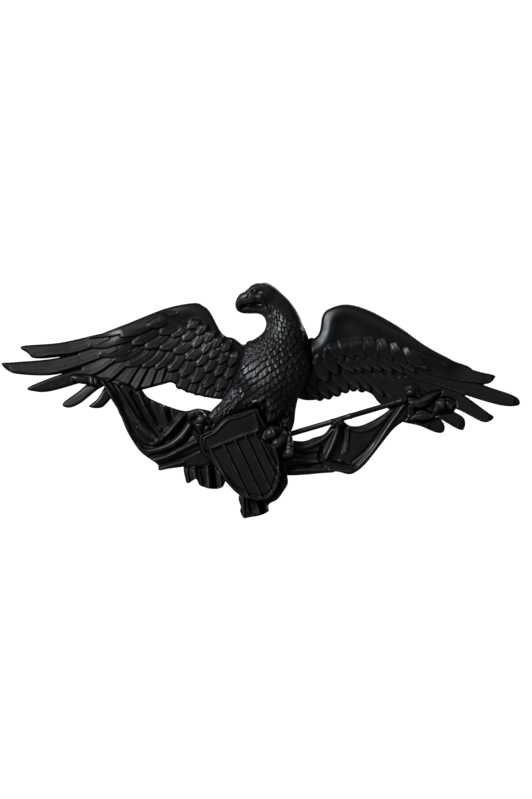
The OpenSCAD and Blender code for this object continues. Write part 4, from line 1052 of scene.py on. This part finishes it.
def guidon_tassels():
    s = Sheet(tassel_area)
    s.body[:] = 1.45
    s.tube([(20.4, -5.75, 2.1), (20.98, -5.32, 2.5), (21.55, -5.89, 2.1)], [0.34, 0.36, 0.3], 0.1, 0.9)
    s.tube([(20.4, -6.32, 2), (20.98, -6.03, 2.3), (21.41, -6.47, 2)], [0.3, 0.3, 0.28], 0.1, 0.9)
    for k in range(5):
        x = 20.65 + 0.2 * k
        s.tube([(x, -7.9, 2.1), (x + 0.03 * (k - 2), -9.5, 1.8)], [0.13, 0.16], 0.05, 1.0)
    s.tube([(20.6, -8.1, 2.3), (21.5, -8.1, 2.3)], [0.2, 0.2], 0.08, 0.9)
    front_cast(s, "guidon_tassels", rim=0.3, rim_width=0.2, back=-1.9)


def guidon_streamer():
    s = Sheet(streamer_area, [right_spearhead_area, tassel_area])
    s.body[:] = 1.2
    s.tube([(20.98, -9.63, 1.9), (22.27, -9.34, 2.2), (23.99, -9.63, 1.8)], [0.6, 0.75, 0.5], 0.3, 0.8)
    s.tube([(24.57, -8.33, 2), (25.29, -7.76, 2.4), (26.58, -8.05, 1.9)], [0.7, 0.85, 0.6], 0.3, 0.8)
    s.fold([(21.12, -10.2), (22.85, -10.2), (24.28, -10.2)], [0.25, 0.25, 0.2], [-0.3, -0.35, -0.2])
    s.fold([(24.71, -7.18), (26.01, -7.18), (27.16, -7.62)], [0.3, 0.3, 0.2], [-0.3, -0.3, -0.2])
    s.fold([(26.01, -6.9), (26.01, -8.33), (26.01, -9.2)], [0.22, 0.25, 0.2], [-0.2, -0.35, -0.2])
    s.fold([(20.98, -8.76), (21.84, -9.2), (22.85, -8.91)], [0.2, 0.24, 0.2], [-0.2, -0.4, -0.2])
    front_cast(s, "guidon_streamer", rim=0.35, rim_width=0.3)


# Staff and fixings --------------------------------------------------------------------------------------

def guidon_staff():
    """A rod with three rings, the last near its upper end, turned along Y and then laid along the staff's
    line.
    """
    r, length = 0.4, 17.9
    profile = [(0, 0), (0.3, 0), (r, 0.1)]
    for at in (6.7, 9.5, 17.2):
        profile += [(r, at - 0.2), (r + 0.05, at - 0.1), (r + 0.05, at + 0.1), (r, at + 0.2)]
    profile += [(r, length - 0.1), (0.3, length), (0, length)]
    verts, quads, tris = turned(profile, (0, 0), 40)
    lean = math.radians(16.5)
    x, y, z = verts.T.copy()
    # a slow wander keeps it from looking like drawn wire
    z = z + 0.03 * np.sin(y * 0.9)
    foot_x, foot_z, axis_y = 3.2, -12.2, -2.35
    placed = np.stack([
        foot_x + y * math.cos(lean) - z * math.sin(lean),
        axis_y + x,
        foot_z + y * math.sin(lean) + z * math.cos(lean)], 1)
    return turned_object("guidon_staff_rod", [(placed, quads, tris)], PAINT, "guidon_staff",
        "badge")


POST_X = 12.0
PITCH = 0.5


def post(side, name):
    x = side * POST_X
    start, end, major, depth = 2.5, 8.5, 1.5, 0.29
    rows = [(0, -1.2), (2.45, -1.2), (2.6, -1.1), (2.6, -0.78), (2.52, -0.7), (1.9, -0.7), (1.9, 0.0),
        (1.7, 0.04),
        (1.7, start - 0.15), (1.58, start)]
    steps = int((end - start) / PITCH * 10)
    thread = [(major, start + 0.02 + (end - start - 0.02) * k / steps) for k in range(steps + 1)]

    def shape(radius, y, angle):
        if y <= start:
            return radius
        phase = np.mod(y / PITCH - angle / (2 * np.pi), 1)
        tooth = np.clip(2.3 * np.abs(phase - 0.5) - 0.1, 0, 1)
        ease = min(1, (y - start) / 0.5)
        cut = major - depth * (1 - tooth) * ease
        return np.minimum(cut, major - max(0, y - (end - 0.3)))

    parts = [turned(rows + thread + [(0, end)], (x, 0), 72, shape=shape)]
    turned_object(name + "_turned", parts, POST, name, "badge", 0.7)


def washer(side, name, body):
    low, high, outer, bore = 2.6, 3.2, 4.5, 1.62
    profile = [(bore, low + 0.08), (bore + 0.1, low), (outer - 0.14, low), (outer, low + 0.14),
        (outer, high - 0.06),
        (outer - 0.05, high), (bore + 0.1, high), (bore, high - 0.08)]
    part = turned(profile[::-1], (side * POST_X, 0), 120, ring=True)
    turned_object(name + "_turned", [part], WASHER, name, body)


def nut(side, name, body):
    low, outer, bore, collar = 3.22, 4.0, 1.56, 2.56
    shoulder, high = low + 2.0, low + 2.5
    knurls, knurl_depth = 24, 0.24
    profile = [(bore, low + 0.25), (bore + 0.25, low), (outer - 0.35, low), (outer - 0.06, low + 0.26),
        (outer, low + 0.34), (outer, shoulder - 0.34), (outer - 0.06, shoulder - 0.26), (outer - 0.35,
            shoulder),
        (collar + 0.14, shoulder), (collar, shoulder + 0.1), (collar, high - 0.14), (collar - 0.14, high),
        (bore + 0.25, high), (bore, high - 0.25)]

    def shape(radius, y, angle):
        if radius[0] < outer - 0.1:
            return radius
        groove = np.maximum(0, np.cos(knurls * angle)) ** 3
        return radius - knurl_depth * groove

    part = turned(profile[::-1], (side * POST_X, 0), 288, ring=True, shape=shape)
    turned_object(name + "_turned", [part], NUT, name, body)


def stay_plate():
    """The back plate: a rounded bar with a boss at each post and a tongue behind the shield."""
    def arc(cx, cz, r, start, stop, n=10):
        return [(cx + r * math.cos(math.radians(a)),
            cz + r * math.sin(math.radians(a))) for a in np.linspace(start, stop, n)]
    bar = arc(14.9, -1.75, 2.6, -88, 88) + arc(-14.9, -1.75, 2.6, 92, 268)
    tongue = arc(-3.2, -15.5, 3.0, 182, 358) + [(-0.2, -8), (-0.2, -2), (-3.2, -1.6), (-6.2, -2),
        (-6.2, -8)]
    bosses = [arc(x, 0, 4.0, 0, 350, 28) for x in (-POST_X, POST_X)]
    s = Sheet([bar, tongue, *bosses])
    s.body[:] = 1.2
    for x in (-POST_X, POST_X):
        r = np.hypot(s.X - x, s.Z)
        s.over -= 0.1 * np.exp(-(((r - 2.9) / 0.22) ** 2))
    # short ribs pressed into the bar and down the tongue
    s.fold([(-3.2, -5), (-3.2, -9.5)], [0.7, 0.7], [-0.22, -0.22])
    s.fold([(-5.2, -1.75), (-2, -1.75)], [0.6, 0.6], [-0.2, -0.2])
    cast(s, "stay_plate_pressed", "stay_plate", PLATE, "back_brass", rim=0.22, rim_width=0.25, turn=1)


def rivets():
    places = [(-16.2, -1.9), (-7, -1.9), (0, -1.9), (7.6, -1.9), (16.2, -1.9), (-3.2, -11.5), (-3.2, -16)]
    parts = []
    for x, z in places:
        parts.append(turned([(0, -1.3), (0.55, -1.3), (0.6, -0.2), (1.02, -0.02), (1.06, 0.06), (0.98, 0.2),
            (0.78, 0.32),
            (0.5, 0.41), (0.24, 0.45), (0, 0.46)], (x, z), 40))
    turned_object("rivets_headed", parts, PLATE, "rivets", "badge", 0.9)


eagle_body()
wing_left()
wing_right()
foot_left()
foot_right()
shield()
shield_chief()
draped_flag()
draped_flag_spearhead()
flag_tail_left()
flag_tail_lower()
guidon()
guidon_spearhead()
guidon_tassels()
guidon_streamer()
guidon_staff()
stay_plate()
rivets()
for side, word in ((-1, "left"), (1, "right")):
    post(side, "post_" + word)
    washer(side, "washer_" + word, word + "_washer")
    nut(side, "nut_" + word, word + "_nut")

# Studio ---------------------------------------------------------------------------------------------------

CENTRE = Vector((0.00014, -0.003, -0.0071))


def plain(name, colour, rough=0.9, glow=0.0):
    m = Nodes(name)
    shade = m.span(m.noise(3, 2), 0.3, 0.7, 0.97, 1.0)
    m.link(m.mix(shade, tuple(0.96 * c for c in colour), colour), m.shader.inputs["Base Color"])
    m.shader.inputs["Roughness"].default_value = rough
    m.shader.inputs["Emission Color"].default_value = (1, 1, 1, 1)
    m.shader.inputs["Emission Strength"].default_value = glow
    return m.material


bpy.ops.mesh.primitive_plane_add(size=2.4, location=(0, 0, -0.33))
floor = bpy.context.object
floor.name = "floor"
floor.data.materials.append(plain("floor_pale", (0.85, 0.85, 0.84), glow=0.45))
bpy.ops.mesh.primitive_uv_sphere_add(segments=48, ring_count=24, radius=2.5)
dome = bpy.context.object
dome.name = "backdrop"
dome.data.materials.append(plain("backdrop_white", (1, 1, 1), glow=1.0))
for seen_by in ("visible_diffuse", "visible_glossy", "visible_transmission", "visible_shadow",
        "visible_volume_scatter"):
    setattr(dome, seen_by, False)
for seen_by in ("visible_diffuse", "visible_glossy"):
    setattr(floor, seen_by, False)


def soft_light(name, place, size, power, colour=(1, 1, 1)):
    data = bpy.data.lights.new(name, "AREA")
    data.shape = "DISK"
    data.size = size
    data.energy = power
    data.color = colour
    lamp = bpy.data.objects.new(name, data)
    bpy.context.scene.collection.objects.link(lamp)
    lamp.location = place
    lamp.rotation_mode = "QUATERNION"
    lamp.rotation_quaternion = (CENTRE - Vector(place)).to_track_quat("-Z", "Y")


soft_light("key", (-0.56, -0.5, 0.36), 0.26, 6.0, (0.93, 0.97, 1.0))
soft_light("fill", (0.3, -0.8, 0.6), 0.7, 0.3)
soft_light("back_key", (0.25, 0.85, 0.3), 0.7, 3.0)

world = bpy.data.worlds.new("studio")
bpy.context.scene.world = world
world.use_nodes = True
world.node_tree.nodes["Background"].inputs["Color"].default_value = (0.95, 0.98, 1.0, 1)
world.node_tree.nodes["Background"].inputs["Strength"].default_value = 0.07

camera = bpy.data.cameras.new("camera")
camera.lens = 90
camera.sensor_width = 36
camera.clip_start = 0.01
eye = bpy.data.objects.new("camera", camera)
bpy.context.scene.collection.objects.link(eye)
FRAME_HIGH = 0.1148
distance = FRAME_HIGH / 2 / (camera.sensor_width / 2 / camera.lens)
eye.location = CENTRE - Vector((0, distance, 0))
eye.rotation_euler = (math.pi / 2, 0, 0)
bpy.context.scene.camera = eye
bpy.context.scene.view_settings.view_transform = "Standard"
